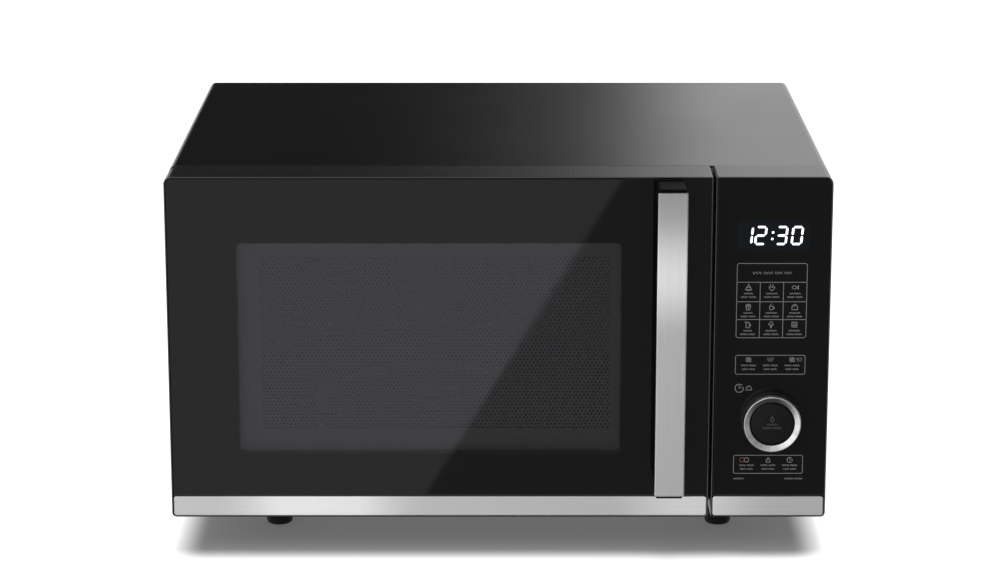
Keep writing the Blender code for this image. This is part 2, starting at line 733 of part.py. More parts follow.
def roller_ring():
    """Ring under the tray with a stub axle for each wheel."""
    profile = sleeve_profile(0.0780, 0.0850, WHEEL_Z - 0.0028, WHEEL_Z + 0.0028)
    ring = turned("roller_ring", profile, "Z", (TABLE_X, TABLE_DEPTH), pale_plastic(), 36)
    outer = WHEEL_CIRCLE + 0.0034
    axle = [(0, 0.0820), (0.0019, 0.0820), (0.0019, outer), (0.0032, outer), (0.0028, outer + 0.0018)]
    axle += [(0, outer + 0.0018)]
    for index, angle in enumerate(wheel_angles()):
        tool = radial_piece("ring_axle_%d" % (index + 1), axle, angle, None, 12)
        unite_turned(ring, tool)
    return ring


def unite_turned(target, tool):
    """Union with a helper that is placed by its own rotation."""
    place = tool.location.copy()
    apply_tool(target, tool, "UNION")
    tool.location = place - target.location


def roller_wheels():
    """Three wheels turning on the ring's stub axles."""
    profile = [(0.0022, 0.0870), (0.0070, 0.0870), (WHEEL_RADIUS, 0.0876), (WHEEL_RADIUS, 0.0924)]
    profile += [(0.0070, 0.0930), (0.0022, 0.0930)]
    wheels = []
    for index, angle in enumerate(wheel_angles()):
        wheels.append(radial_piece("roller_wheel_%d" % (index + 1), profile, angle, pale_plastic(), 24))
    return wheels


def grill_heater():
    """Sheathed element bent to and fro under the ceiling, its ends out through the right wall."""
    left, right, outside = -0.1500, 0.0600, 0.1240
    bend = (HEATER_PASSES[1] - HEATER_PASSES[0]) / 2
    plan = [(outside, HEATER_PASSES[0]), (0.0200, HEATER_PASSES[0])]
    plan += arc((left, HEATER_PASSES[0] + bend), bend, 270, 90, 8)
    plan += arc((right - 0.0200, HEATER_PASSES[1] + bend), bend, -90, 90, 8)
    plan += arc((left, HEATER_PASSES[2] + bend), bend, 270, 90, 8)
    plan += [(0.0200, HEATER_PASSES[3]), (outside, HEATER_PASSES[3])]
    points = [Vector((x, y_at(depth), HEATER_Z)) for x, depth in plan]
    return tube_along("grill_heater", points, HEATER_RADIUS, 8, heater_steel())


def grill_support():
    """Folded strip that holds the element under the ceiling."""
    under = HEATER_Z - HEATER_RADIUS - 0.0004
    top = CAVITY_Z[1] - GAP
    front, rear = HEATER_PASSES[0] - 0.0120, HEATER_PASSES[-1] + 0.0120
    thick = 0.0012
    outline = [(front, top), (front, under - thick), (rear, under - thick), (rear, top), (rear - thick, top)]
    outline += [(rear - thick, under), (front + thick, under), (front + thick, top)]
    return prism("grill_support", outline, "X", (TABLE_X - 0.0060, TABLE_X + 0.0060), zinc_steel())


# ---------------------------------------------------------------- microwave source and cooling

def waveguide():
    """Steel duct from the magnetron's antenna to the port in the cavity wall."""
    guide = block("waveguide", (0.1117, 0.1460), (0.1250, 0.2250), (0.1300, 0.2000), zinc_steel())
    hollow = block("guide_hollow", (0.1100, 0.1448), (0.1262, 0.2238), (0.1312, 0.1988))
    antenna = rods("guide_antenna_hole", 0.0100, "X", [(0.1775, 0.1650)], (0.1440, 0.1470), 24)
    cut(guide, hollow, antenna)
    return guide


def waveguide_cover():
    return block("waveguide_cover", (0.1094, 0.1102), (0.1350, 0.2150), (0.1400, 0.1900), mica())


def magnetron():
    """Anode block with cooling fins across the air stream and its antenna in the waveguide."""
    left, fin_count, pitch, fin = 0.1464, 9, 0.0060, 0.0012
    bottom, top, core_low, core_high = 0.1300, 0.2000, 0.1470, 0.1830
    outline = [(left, bottom)]
    for index in range(fin_count):
        start = left + 0.0020 + index * pitch
        outline += [(start, bottom), (start, core_low), (start + pitch - fin, core_low),
                    (start + pitch - fin, bottom)]
    right = left + 0.0020 + fin_count * pitch + 0.0015
    outline += [(right, bottom), (right, top)]
    for index in reversed(range(fin_count)):
        start = left + 0.0020 + index * pitch
        outline += [(start + pitch - fin, top), (start + pitch - fin, core_high), (start, core_high),
                    (start, top)]
    outline += [(left, top)]
    body = prism("magnetron", outline, "Y", (0.1420, 0.2130), zinc_steel())
    antenna = rods("magnetron_antenna", 0.0080, "X", [(0.1775, 0.1650)], (0.1240, 0.1500), 16)
    unite(body, antenna)
    return body


def transformer():
    """Laminated core with its windings round the middle leg."""
    middle_x, middle_depth, low = 0.1650, 0.2110, FOOT_HEIGHT + SHEET + GAP
    core = block("transformer_core", (middle_x - 0.030, middle_x + 0.030),
                 (middle_depth - 0.046, middle_depth + 0.046), (low, low + 0.066), heater_steel())
    windows = []
    for side in (-1, 1):
        near, far = sorted((middle_depth + side * 0.012, middle_depth + side * 0.031))
        windows.append(((middle_x - 0.04, middle_x + 0.04), (near, far), (low + 0.010, low + 0.056)))
    cut(core, boxes("core_windows", windows))
    coil_x = (middle_x - 0.0460, middle_x + 0.0460)
    coil_depth = (middle_depth - 0.0300, middle_depth + 0.0300)
    coil = prism("transformer_coils", rounded_outline(coil_x, coil_depth, (0.014,) * 4), "Z",
                 (low + 0.0110, low + 0.0550), copper_wire())
    eye = block("coil_eye", (middle_x - 0.0310, middle_x + 0.0310),
                (middle_depth - 0.0125, middle_depth + 0.0125), (low, low + 0.07))
    cut(coil, eye)


def capacitor():
    """Oval can with two tab terminals."""
    low, high = FOOT_HEIGHT + SHEET + GAP, 0.1000
    can = prism("hv_capacitor", rounded_outline((0.1575, 0.1915), (0.2720, 0.3220), (0.0165,) * 4, 6), "Z",
                (low, high), zinc_steel())
    tabs = []
    for start in (0.2850, 0.3080):
        tabs.append(((0.1715, 0.1775), (start, start + 0.0010), (high - 0.002, high + 0.009)))
    unite(can, boxes("capacitor_tabs", tabs))
    return can


def hv_diode():
    return turned("hv_diode", [(0, 0.2600), (0.0032, 0.2600), (0.0032, 0.2780), (0.0010, 0.2782),
                               (0.0010, 0.2920), (0, 0.2920)], "Y", (0.2000, 0.0750), black_plastic(), 12)


def noise_filter():
    board = block("noise_filter", (0.1190, 0.1206), (0.2650, 0.3300), (0.0600, 0.1200), circuit_board())
    unite(board, boxes("filter_choke", [((0.1200, 0.1400), (0.2780, 0.3060), (0.0740, 0.1060))]))
    return board


def fan_assembly():
    """Shroud and shaded-pole motor of the fan that cools the magnetron."""
    shroud = block("fan_shroud", (0.1150, 0.2170), (0.3100, 0.3125), (0.1400, 0.2450), black_plastic())
    opening = rods("shroud_opening", 0.0430, "Y", [(FAN_X, FAN_Z)], (0.3080, 0.3140), 36)
    posts = rods("shroud_posts", 0.0030, "Y", [(FAN_X - 0.0460, 0.2350), (FAN_X + 0.0460, 0.1500)],
                 (0.2984, 0.3110), 12)
    cut(shroud, opening)
    unite(shroud, posts)
    motor = block("fan_motor", (FAN_X - 0.0360, FAN_X + 0.0360), (0.2800, 0.2981), (0.1830, 0.2020),
                  heater_steel())
    coil = boxes("motor_coil", [((FAN_X - 0.0160, FAN_X + 0.0160), (0.2740, 0.2960), (0.1510, 0.1850))])
    arm = boxes("motor_arms", [((FAN_X - 0.0500, FAN_X - 0.0350), (0.2960, 0.2981), (0.1900, 0.2400)),
                               ((FAN_X + 0.0350, FAN_X + 0.0500), (0.2960, 0.2981), (0.1450, 0.1950))])
    bore = rods("motor_bore", 0.0022, "Y", [(FAN_X, FAN_Z)], (0.2900, 0.3000), 12)
    unite(motor, coil, arm)
    cut(motor, bore)


def fan_blade():
    """Five pitched blades round a hub: a lobed outline turned a little further at each layer."""
    lobes, per_lobe, layers = 5, 10, 4
    front, rear, twist = 0.3050, 0.3190, math.radians(34)
    bm = bmesh.new()
    rings = []
    for layer in range(layers + 1):
        share = layer / layers
        ring = []
        for index in range(lobes * per_lobe):
            angle = 2 * math.pi * index / (lobes * per_lobe)
            phase = (index % per_lobe) / per_lobe
            radius = 0.0400 if 0.25 < phase < 0.55 else 0.0120
            turn = angle + twist * share
            ring.append(bm.verts.new(place_point("Y", FAN_X + radius * math.cos(turn),
                                                 FAN_Z + radius * math.sin(turn),
                                                 front + (rear - front) * share)))
        rings.append(ring)
    count = lobes * per_lobe
    for low, high in zip(rings, rings[1:]):
        for index in range(count):
            beside = (index + 1) % count
            bm.faces.new((low[index], low[beside], high[beside]))
            bm.faces.new((low[index], high[beside], high[index]))
    bm.faces.new(rings[0])
    bm.faces.new(rings[-1])
    blade = add_solid("fan_blade", bm, pale_plastic())
    unite(blade, rods("blade_shaft", 0.0016, "Y", [(FAN_X, FAN_Z)], (0.2910, 0.3100), 12))
    return blade


def air_guide():
    """Bent wall that turns the air from the magnetron towards the cavity."""
    wall = 0.0012
    outline = [(0.1120, 0.0850), (0.2140, 0.0850), (0.2140, 0.1380), (0.2140 - wall, 0.1380)]
    outline += [(0.2140 - wall, 0.0850 + wall), (0.1120, 0.0850 + wall)]
    return prism("air_guide", outline, "Z", (0.1280, 0.1700), black_plastic())


def latch_bracket():
    """Interlock carrier behind the front plate, with a ledge under each hook."""
    bracket = block("latch_bracket", (0.1365, 0.1385), (0.0400, 0.0760), (0.0700, 0.2320), pale_plastic())
    ledges = []
    for middle in HOOK_Z:
        top = middle - 0.0050 - 0.0040 - 0.0005
        ledges.append(((0.1200, 0.1370), (0.0400, 0.0600), (top - 0.0030, top)))
    ledges.append(((0.1200, 0.1370), (0.0400, 0.0600), (0.2260, 0.2285)))
    unite(bracket, boxes("bracket_ledges", ledges))
    return bracket


def microswitches():
    """Three door switches, each with its plunger facing the door."""
    places = {"switch_lower": HOOK_Z[0], "switch_upper": HOOK_Z[1], "switch_monitor": 0.1790}
    for name, middle in places.items():
        switch = block(name, (0.1215, 0.1318), (0.0605, 0.0764), (middle - 0.0139, middle + 0.0139),
                       black_plastic())
        plunger = rods(name + "_plunger", 0.0014, "Y", [(0.1267, middle + 0.0010)], (0.0583, 0.0620), 8)
        unite(switch, plunger)


def lamp():
    """Oven lamp hanging from its holder beside the cavity's vents."""
    block("lamp_holder", (0.1140, 0.1330), (0.0990, 0.1190), (0.2080, 0.2250), pale_plastic())
    bulb_profile = [(0, 0.1800), (0.0050, 0.1810), (0.0085, 0.1860), (0.0085, 0.1950), (0.0060, 0.2010)]
    bulb_profile += [(0.0060, 0.2077), (0, 0.2077)]
    turned("cavity_lamp", bulb_profile, "Z", (0.1235, 0.1090), clear_glass(), 16)


def thermal_cutout():
    """Disc thermostat on the cavity's roof."""
    top = CAVITY_Z[1] + SHEET + GAP
    profile = [(0, top), (0.0100, top), (0.0100, top + 0.0010), (0.0080, top + 0.0014), (0.0080, top + 0.0080)]
    profile += [(0, top + 0.0080)]
    return turned("thermal_cutout", profile, "Z", (0.0600, 0.1500), pale_plastic(), 16)


def build():
    clear_scene()
    cabinet_wrap()
    base_plate()
    feet()
    back_panel()
    cord_gland()
    front_plate()
    cavity_liner()
    hinge_bracket("hinge_lower", TONGUE_Z[1])
    hinge_bracket("hinge_upper", TONGUE_Z[0])
    control_housing()
    control_fascia()
    control_insides()
    trim_strip("panel_trim_strip", PANEL_LEFT + RIM + 0.0002, HALF - 0.0015)
    grill_heater()
    grill_support()
    waveguide()
    waveguide_cover()
    magnetron()
    transformer()
    capacitor()
    hv_diode()
    noise_filter()
    air_guide()
    latch_bracket()
    microswitches()
    turntable_motor()
    lamp()
    thermal_cutout()

    hinge_place = (PIN_X, y_at(PIN_DEPTH), FOOT_HEIGHT)
    door = pivot("door_pivot", hinge_place)
    carry(door, hinge_place, door_frame(), door_glass(), door_screen(), choke_cover(), inner_window(),
          handle_core(), handle_plate(), *handle_screws(),
          trim_strip("door_trim_strip", -HALF + 0.0015, DOOR_RIGHT - RIM - 0.0002))
    latch_place = (LATCH_X[0], y_at(0.0190), HOOK_Z[0])
    latch_guide = pivot("latch_guide", latch_place, door)
    carry(latch_guide, latch_place, door_latch(), latch_spring())

    knob_place = (KNOB_X, y_at(0), KNOB_Z)
    carry(pivot("knob_axis", knob_place), knob_place, knob_ring())
    carry(pivot("start_axis", knob_place), knob_place, start_button())

    table_place = (TABLE_X, y_at(TABLE_DEPTH), WHEEL_Z)
    carry(pivot("table_axis", table_place), table_place, turntable_coupler(), glass_turntable())
    carry(pivot("ring_axis", table_place), table_place, roller_ring(), *roller_wheels())

    fan_assembly()
    fan_place = (FAN_X, y_at(0.3120), FAN_Z)
    carry(pivot("fan_axis", fan_place), fan_place, fan_blade())


build()
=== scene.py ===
"""Countertop microwave oven with a turntable and a grill: black cabinet and door glass, a
bracket handle, brushed trim along the bottom and a touch panel with a turned selector.

Metres, +Z up, the door facing -Y. A depth is measured back from the front of the door glass.
"""
import math

import bmesh
import bpy
import numpy as np
from bpy.props import FloatProperty, FloatVectorProperty, PointerProperty
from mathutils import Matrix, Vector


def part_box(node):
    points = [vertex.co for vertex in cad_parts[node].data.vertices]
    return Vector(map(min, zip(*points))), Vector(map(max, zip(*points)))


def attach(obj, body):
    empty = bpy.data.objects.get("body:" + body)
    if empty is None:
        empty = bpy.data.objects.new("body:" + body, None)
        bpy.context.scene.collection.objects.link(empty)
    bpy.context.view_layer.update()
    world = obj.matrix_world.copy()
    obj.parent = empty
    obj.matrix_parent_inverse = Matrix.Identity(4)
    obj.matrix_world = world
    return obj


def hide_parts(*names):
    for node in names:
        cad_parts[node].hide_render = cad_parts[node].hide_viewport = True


bl_info = {
    "name": "Microwave Oven",
    "version": (1, 0, 0),
    "blender": (4, 5, 0),
    "location": "3D View > Sidebar > Oven",
    "description": "Builds a countertop microwave oven piece by piece round its working frame",
    "category": "Add Mesh",
}

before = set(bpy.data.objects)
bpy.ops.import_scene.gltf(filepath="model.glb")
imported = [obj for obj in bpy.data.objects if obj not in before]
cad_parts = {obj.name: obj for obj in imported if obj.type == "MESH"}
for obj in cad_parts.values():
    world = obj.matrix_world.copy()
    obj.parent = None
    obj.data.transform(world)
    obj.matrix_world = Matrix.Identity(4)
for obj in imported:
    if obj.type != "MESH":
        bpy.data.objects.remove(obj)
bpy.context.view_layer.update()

# Places taken from the frame
GLASS_LOW, GLASS_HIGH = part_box("door_glass")
FASCIA_LOW, FASCIA_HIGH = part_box("control_fascia")
FRAME_LOW, FRAME_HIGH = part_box("door_frame")
HOUSING_LOW, HOUSING_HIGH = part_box("control_housing")
WRAP_LOW, WRAP_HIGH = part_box("cabinet_wrap")
BASE_LOW, BASE_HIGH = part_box("base_plate")
BACK_LOW, BACK_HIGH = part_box("back_panel")
LINER_LOW, LINER_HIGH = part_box("cavity_liner")
SCREEN_LOW, SCREEN_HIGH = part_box("door_screen")
KNOB_LOW, KNOB_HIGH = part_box("knob_ring")
KEY_LOW, KEY_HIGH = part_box("start_button")
TRAY_LOW, TRAY_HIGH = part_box("glass_turntable")
DISPLAY_LOW, DISPLAY_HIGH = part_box("display_module")

GLASS_Y = GLASS_LOW.y
KNOB_X = (KNOB_LOW.x + KNOB_HIGH.x) / 2
KNOB_Z = (KNOB_LOW.z + KNOB_HIGH.z) / 2
TABLE_X = (TRAY_LOW.x + TRAY_HIGH.x) / 2
TABLE_Y = (TRAY_LOW.y + TRAY_HIGH.y) / 2
TOP = WRAP_HIGH.z
SHEET = 0.0008
SEAT = 0.0035                # depth of the seats for glass and strips
RIM = 0.0010
PI = math.pi


# ---------------------------------------------------------------- surfaces

def spread(start, end, count):
    """Evenly spaced values from start to end."""
    return np.linspace(start, end, count)


def grid(points, close_rows=False, close_columns=False):
    """Quads between neighbours of a (rows, columns, 3) array; a closed side joins last to first."""
    rows, columns = points.shape[:2]
    index = np.arange(rows * columns).reshape(rows, columns)
    if close_rows:
        index = np.vstack((index, index[:1]))
    if close_columns:
        index = np.hstack((index, index[:, :1]))
    corners = (index[:-1, :-1], index[:-1, 1:], index[1:, 1:], index[1:, :-1])
    return points.reshape(-1, 3), np.stack([corner.ravel() for corner in corners], axis=1)


def cap(loop):
    """One face across a closed loop of points."""
    return loop, np.arange(len(loop))[None, :]


def stand(flat, along, axis):
    """Points from (first, second) pairs: (x, z) at y, (y, z) at x or (x, y) at z. The third place is
    one value, a value for each point, or a function of the pairs."""
    along = along(flat) if callable(along) else along
    along = np.broadcast_to(along, len(flat))
    columns = {"Y": (flat[:, 0], along, flat[:, 1]), "X": (along, flat[:, 0], flat[:, 1]),
               "Z": (flat[:, 0], flat[:, 1], along)}
    return np.stack(columns[axis], axis=-1)


def rounded_loop(first, second, radii, steps=6):
    """Rectangle with a quarter circle at each corner, anticlockwise from the lower left one."""
    radius = np.maximum(np.broadcast_to(radii, 4), 2e-5)[:, None]
    across = np.array([1, -1, -1, 1])[:, None]
    up = np.array([1, 1, -1, -1])[:, None]
    corner_a = np.array([first[0], first[1], first[1], first[0]])[:, None]
    corner_b = np.array([second[0], second[0], second[1], second[1]])[:, None]
    turn = PI + PI / 2 * np.arange(4)[:, None] + spread(0, PI / 2, steps + 1)
    places = (corner_a + across * radius + radius * np.cos(turn),
              corner_b + up * radius + radius * np.sin(turn))
    return np.stack(places, axis=-1).reshape(-1, 2)


def circle(centre, radius, steps=48):
    """Points round a circle: centre + radius (cos t, sin t)."""
    turn = spread(0, 2 * PI, steps + 1)[:-1]
    return np.stack((centre[0] + radius * np.cos(turn), centre[1] + radius * np.sin(turn)), axis=-1)


def inset(loop, distance):
    """Anticlockwise loop moved inwards: each corner goes along n + m by d / (1 + n.m), where n and m
    are the inward normals of the two sides that meet there."""
    side = np.roll(loop, -1, axis=0) - loop
    side = side / np.linalg.norm(side, axis=1, keepdims=True)
    after = np.stack((-side[:, 1], side[:, 0]), axis=-1)
    before = np.roll(after, 1, axis=0)
    share = 1 + np.sum(before * after, axis=1, keepdims=True)
    return loop + distance * (before + after) / share


def softened(points, radius, closed=True, steps=4):
    """Path whose corners P become curves (1-t)^2 A + 2t(1-t) P + t^2 B, with A and B on the two sides
    at the given distance from P or half way along a shorter side."""
    points = np.asarray(points, dtype=float)
    before, after = np.roll(points, 1, axis=0) - points, np.roll(points, -1, axis=0) - points
    reach_before = np.linalg.norm(before, axis=1, keepdims=True)
    reach_after = np.linalg.norm(after, axis=1, keepdims=True)
    start = points + before * np.minimum(radius / reach_before, 0.49)
    end = points + after * np.minimum(radius / reach_after, 0.49)
    t = spread(0, 1, steps + 1)[None, :, None]
    curve = (1 - t) ** 2 * start[:, None] + 2 * t * (1 - t) * points[:, None] + t ** 2 * end[:, None]
    if closed:
        return curve.reshape(-1, points.shape[1])
    return np.concatenate((points[:1], curve[1:-1].reshape(-1, points.shape[1]), points[-1:]))


def layered(loop, layers, axis="Y"):
    """Solid through copies of one loop, each an (inset, place along the axis) pair, capped at both ends."""
    rings = np.array([stand(inset(loop, distance), place, axis) for distance, place in layers])
    return [grid(rings, close_columns=True), cap(rings[0]), cap(rings[-1])]


def slab(loop, start, end, edge, axis="Y", far_edge=None):
    """Solid between two places along an axis, its rims rounded by quarter circles."""
    far_edge = edge if far_edge is None else far_edge
    turn = spread(0, PI / 2, 4)
    direction = 1 if end > start else -1
    near = [(edge * (1 - math.sin(t)), start + direction * edge * (1 - math.cos(t))) for t in turn]
    far = [(far_edge * (1 - math.cos(t)), end - direction * far_edge * (1 - math.sin(t))) for t in turn]
    return layered(loop, near + far, axis)


def radial(loop, centre, angles):
    """Where rays from a centre meet a loop: c + t d on the side from a to b, with
    t = cross(a - c, b - a) / cross(d, b - a)."""
    relative = loop - np.asarray(centre)
    bearing = np.arctan2(relative[:, 1], relative[:, 0])
    order = np.argsort(bearing)
    relative, bearing = relative[order], bearing[order]
    edge = np.roll(relative, -1, axis=0) - relative
    at = np.searchsorted(bearing, angles + 1e-9, side="right") - 1
    start, edge = relative[at], edge[at]
    ray = np.stack((np.cos(angles), np.sin(angles)), axis=-1)
    reach = (start[:, 0] * edge[:, 1] - start[:, 1] * edge[:, 0])
    reach = reach / (ray[:, 0] * edge[:, 1] - ray[:, 1] * edge[:, 0])
    return np.asarray(centre) + reach[:, None] * ray


def holed(loops, centre, axis="Y"):
    """Closed ring through (loop, place) pairs that all go round one centre: every loop is met by the
    same rays, so that the first and last loops join as well."""
    bearings = [np.arctan2(loop[:, 1] - centre[1], loop[:, 0] - centre[0]) for loop, _ in loops]
    angles = np.unique(np.round(np.concatenate(bearings), 4))
    rings = np.array([stand(radial(loop, centre, angles), place, axis) for loop, place in loops])
    return [grid(rings, close_rows=True, close_columns=True)]


def holed_slab(outer, hole, centre, start, end, edge, axis="Y"):
    """Flat piece with one opening, both of its outlines rounded at front and back."""
    loops = [(inset(outer, edge), start), (inset(outer, edge * 0.3), start + edge * 0.3),
             (outer, start + edge), (outer, end - edge), (inset(outer, edge), end),
             (inset(hole, -edge), end), (hole, end - edge), (hole, start + edge),
             (inset(hole, -edge * 0.3), start + edge * 0.3), (inset(hole, -edge), start)]
    return holed(loops, centre, axis)


def turned(profile, centre, axis="Y", steps=64, closed=False):
    """Profile of (radius, place) points turned round an axis: r (cos t, sin t) at each place."""
    profile = np.asarray(profile, dtype=float)
    turn = spread(0, 2 * PI, steps + 1)[:-1]
    first = centre[0] + profile[:, :1] * np.cos(turn)
    second = centre[1] + profile[:, :1] * np.sin(turn)
    along = np.broadcast_to(profile[:, 1:], first.shape)
    rings = np.stack((first.ravel(), second.ravel()), axis=-1)
    points = stand(rings, along.ravel(), axis).reshape(len(profile), steps, 3)
    return [grid(points, close_rows=closed, close_columns=True)]


def tube(path, radius, normal, sides=12, closed=False):
    """Round rod along a path: p + r (cos t s + sin t u), with s across the path and u above it."""
    forward = np.gradient(path, axis=0)
    if closed:
        forward = np.roll(path, -1, axis=0) - np.roll(path, 1, axis=0)
    forward = forward / np.linalg.norm(forward, axis=1, keepdims=True)
    side = np.cross(forward, normal)
    side = side / np.linalg.norm(side, axis=1, keepdims=True)
    above = np.cross(side, forward)
    turn = spread(0, 2 * PI, sides + 1)[:-1, None]
    rings = path[:, None] + radius * (np.cos(turn) * side[:, None] + np.sin(turn) * above[:, None])
    surfaces = [grid(rings, close_rows=closed, close_columns=True)]
    return surfaces if closed else surfaces + [cap(rings[0]), cap(rings[-1])]


def ribbon(path, width, front, back, closed=False):
    """Printed line along (x, z) points: each point moves half a width to both sides, lengthened at a
    corner as a mitre is, and the strip goes from one depth to another."""
    path = np.asarray(path, dtype=float)
    ahead = np.roll(path, -1, axis=0) - path
    if not closed:
        ahead[-1] = ahead[-2]
    ahead = ahead / np.linalg.norm(ahead, axis=1, keepdims=True)
    after = np.stack((-ahead[:, 1], ahead[:, 0]), axis=-1)
    before = np.roll(after, 1, axis=0)
    if not closed:
        before[0] = after[0]
    across = (before + after) / np.maximum(1 + np.sum(before * after, axis=1, keepdims=True), 0.3)
    left, right = path + across * width / 2, path - across * width / 2
    edges = [stand(left, front, "Y"), stand(right, front, "Y"), stand(right, back, "Y"),
             stand(left, back, "Y")]
    rings = np.stack(edges, axis=1)
    surfaces = [grid(rings, close_rows=closed, close_columns=True)]
    return surfaces if closed else surfaces + [cap(rings[0]), cap(rings[-1])]


def pierced(outer, inner, kept):
    """Sheet between two matching (rows, columns, 3) arrays with some cells left open, and a wall
    wherever a kept cell meets an open one."""
    count = outer.shape[0] * outer.shape[1]
    index = np.arange(count).reshape(outer.shape[:2])
    faces = grid(outer)[1][kept.ravel()]
    padded = np.pad(kept, 1)
    lengthwise = padded[:-1, 1:-1] != padded[1:, 1:-1]
    crosswise = padded[1:-1, :-1] != padded[1:-1, 1:]
    edges = np.concatenate((np.stack((index[:, :-1][lengthwise], index[:, 1:][lengthwise]), axis=-1),
                            np.stack((index[:-1, :][crosswise], index[1:, :][crosswise]), axis=-1)))
    walls = np.stack((edges[:, 0], edges[:, 1], edges[:, 1] + count, edges[:, 0] + count), axis=-1)
    points = np.concatenate((outer.reshape(-1, 3), inner.reshape(-1, 3)))
    return [(points, np.concatenate((faces, faces[:, ::-1] + count, walls)))]


def box_surface(low, high, edge):
    """Block between two corners with rounded upright and front edges."""
    loop = rounded_loop((low[0], high[0]), (low[2], high[2]), edge, 2)
    return slab(loop, low[1], high[1], edge)


def turned_about(points, centre, angle):
    """Points turned about an upright axis: x' = x cos a - y sin a, y' = x sin a + y cos a."""
    offset = points - np.array([centre[0], centre[1], 0])
    x = offset[:, 0] * math.cos(angle) - offset[:, 1] * math.sin(angle)
    y = offset[:, 0] * math.sin(angle) + offset[:, 1] * math.cos(angle)
    return np.stack((x + centre[0], y + centre[1], points[:, 2]), axis=-1)


# ---------------------------------------------------------------- objects

def build_mesh(name, surfaces):
    """One mesh from several surfaces, its doubles merged and its faces turned outwards."""
    starts = np.cumsum([0] + [len(points) for points, _ in surfaces])
    loops = np.concatenate([(faces + start).ravel() for (_, faces), start in zip(surfaces, starts)])
    sizes = np.concatenate([np.full(len(faces), faces.shape[1]) for _, faces in surfaces])
    mesh = bpy.data.meshes.new(name)
    mesh.vertices.add(int(starts[-1]))
    mesh.loops.add(len(loops))
    mesh.polygons.add(len(sizes))
    mesh.vertices.foreach_set("co", np.concatenate([points for points, _ in surfaces]).ravel())
    mesh.loops.foreach_set("vertex_index", loops)
    mesh.polygons.foreach_set("loop_start", np.concatenate(([0], np.cumsum(sizes)[:-1])))
    mesh.update(calc_edges=True)
    work = bmesh.new()
    work.from_mesh(mesh)
    loose = [vertex for vertex in work.verts if not vertex.link_faces]
    bmesh.ops.delete(work, geom=loose, context="VERTS")
    bmesh.ops.remove_doubles(work, verts=work.verts, dist=1e-6)
    bmesh.ops.recalc_face_normals(work, faces=work.faces)
    work.to_mesh(mesh)
    work.free()
    mesh.shade_smooth()
    mesh.set_sharp_from_angle(angle=math.radians(32))
    return mesh


def add_piece(name, surfaces, material, body, stands_for=(), flat_faces=True):
    """Shown piece that moves with a body and stands for the named parts of the frame. Where it has flat
    faces, a vertex takes the normal of its largest face, so that only the rounded edges are shaded round."""
    mesh = build_mesh(name, surfaces)
    mesh.materials.append(material)
    piece = bpy.data.objects.new(name, mesh)
    bpy.context.scene.collection.objects.link(piece)
    if flat_faces:
        modifier = piece.modifiers.new("normals", "WEIGHTED_NORMAL")
        modifier.mode = "FACE_AREA"
        modifier.keep_sharp = True
    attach(piece, body)
    if stands_for:
        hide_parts(*stands_for)
    return piece


def add_bevel(piece, width, segments=2, limit=40):
    """Rounded edges that keep the flat faces flat."""
    modifier = piece.modifiers.new("edges", "BEVEL")
    modifier.width = width
    modifier.segments = segments
    modifier.limit_method = "ANGLE"
    modifier.angle_limit = math.radians(limit)
    modifier.harden_normals = True
    piece.modifiers.move(len(piece.modifiers) - 1, 0)


def carve(piece, name, boxes):
    """Takes boxes, given as (low, high) corners, out of a piece with an exact Boolean."""
    surfaces = []
    for low, high in boxes:
        loop = rounded_loop((low[0], high[0]), (low[2], high[2]), 1e-4, 1)
        surfaces += layered(loop, [(0, low[1]), (0, high[1])])
    cutter = bpy.data.objects.new(name, build_mesh(name, surfaces))
    bpy.context.scene.collection.objects.link(cutter)
    modifier = piece.modifiers.new(name, "BOOLEAN")
    modifier.operation = "DIFFERENCE"
    modifier.solver = "EXACT"
    modifier.use_self = True
    modifier.object = cutter
    evaluated = piece.evaluated_get(bpy.context.evaluated_depsgraph_get())
    carved = bpy.data.meshes.new_from_object(evaluated)
    piece.modifiers.remove(modifier)
    piece.data = carved
    carved.shade_smooth()
    carved.set_sharp_from_angle(angle=math.radians(32))
    bpy.data.objects.remove(cutter)


def dress(material, *nodes):
    """Gives parts of the frame their finish."""
    for node in nodes:
        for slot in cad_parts[node].material_slots:
            slot.material = material


# ---------------------------------------------------------------- finishes

def add_node(tree, kind, values=None, **settings):
    """Shader node with its settings made and its inputs linked or set."""
    made = tree.nodes.new("ShaderNode" + kind)
    for key, value in settings.items():
        setattr(made, key, value)
    for key, value in (values or {}).items():
        if isinstance(value, bpy.types.NodeSocket):
            tree.links.new(value, made.inputs[key])
        else:
            made.inputs[key].default_value = value
    return made


def new_finish(name, color, roughness, metallic=0.0, specular=0.5):
    """Material with its Principled shader's plain values set; gives the node tree and the shader too."""
    material = bpy.data.materials.new(name)
    material.use_nodes = True
    tree = material.node_tree
    shader = tree.nodes["Principled BSDF"]
    shader.inputs["Base Color"].default_value = (*color, 1)
    shader.inputs["Roughness"].default_value = roughness
    shader.inputs["Metallic"].default_value = metallic
    shader.inputs["Specular IOR Level"].default_value = specular
    return material, tree, shader


def calculate(tree, operation, first, second=0.0, clamp=False):
    """Result of one Math node."""
    return add_node(tree, "Math", {0: first, 1: second}, operation=operation, use_clamp=clamp).outputs[0]


def remap(tree, value, low, high, to_low, to_high, smooth=False):
    """Value carried from one range to another and kept inside it."""
    kind = "SMOOTHSTEP" if smooth else "LINEAR"
    made = add_node(tree, "MapRange", {0: value, 1: low, 2: high, 3: to_low, 4: to_high},
                    interpolation_type=kind)
    return made.outputs[0]


def tint(tree, factor, first, second):
    """Colour between two, each given as (r, g, b) or as a link."""
    made = add_node(tree, "Mix", data_type="RGBA")
    for index, value in ((0, factor), (6, first), (7, second)):
        if isinstance(value, bpy.types.NodeSocket):
            tree.links.new(value, made.inputs[index])
        else:
            made.inputs[index].default_value = value if index == 0 else (*value, 1)
    return made.outputs[2]


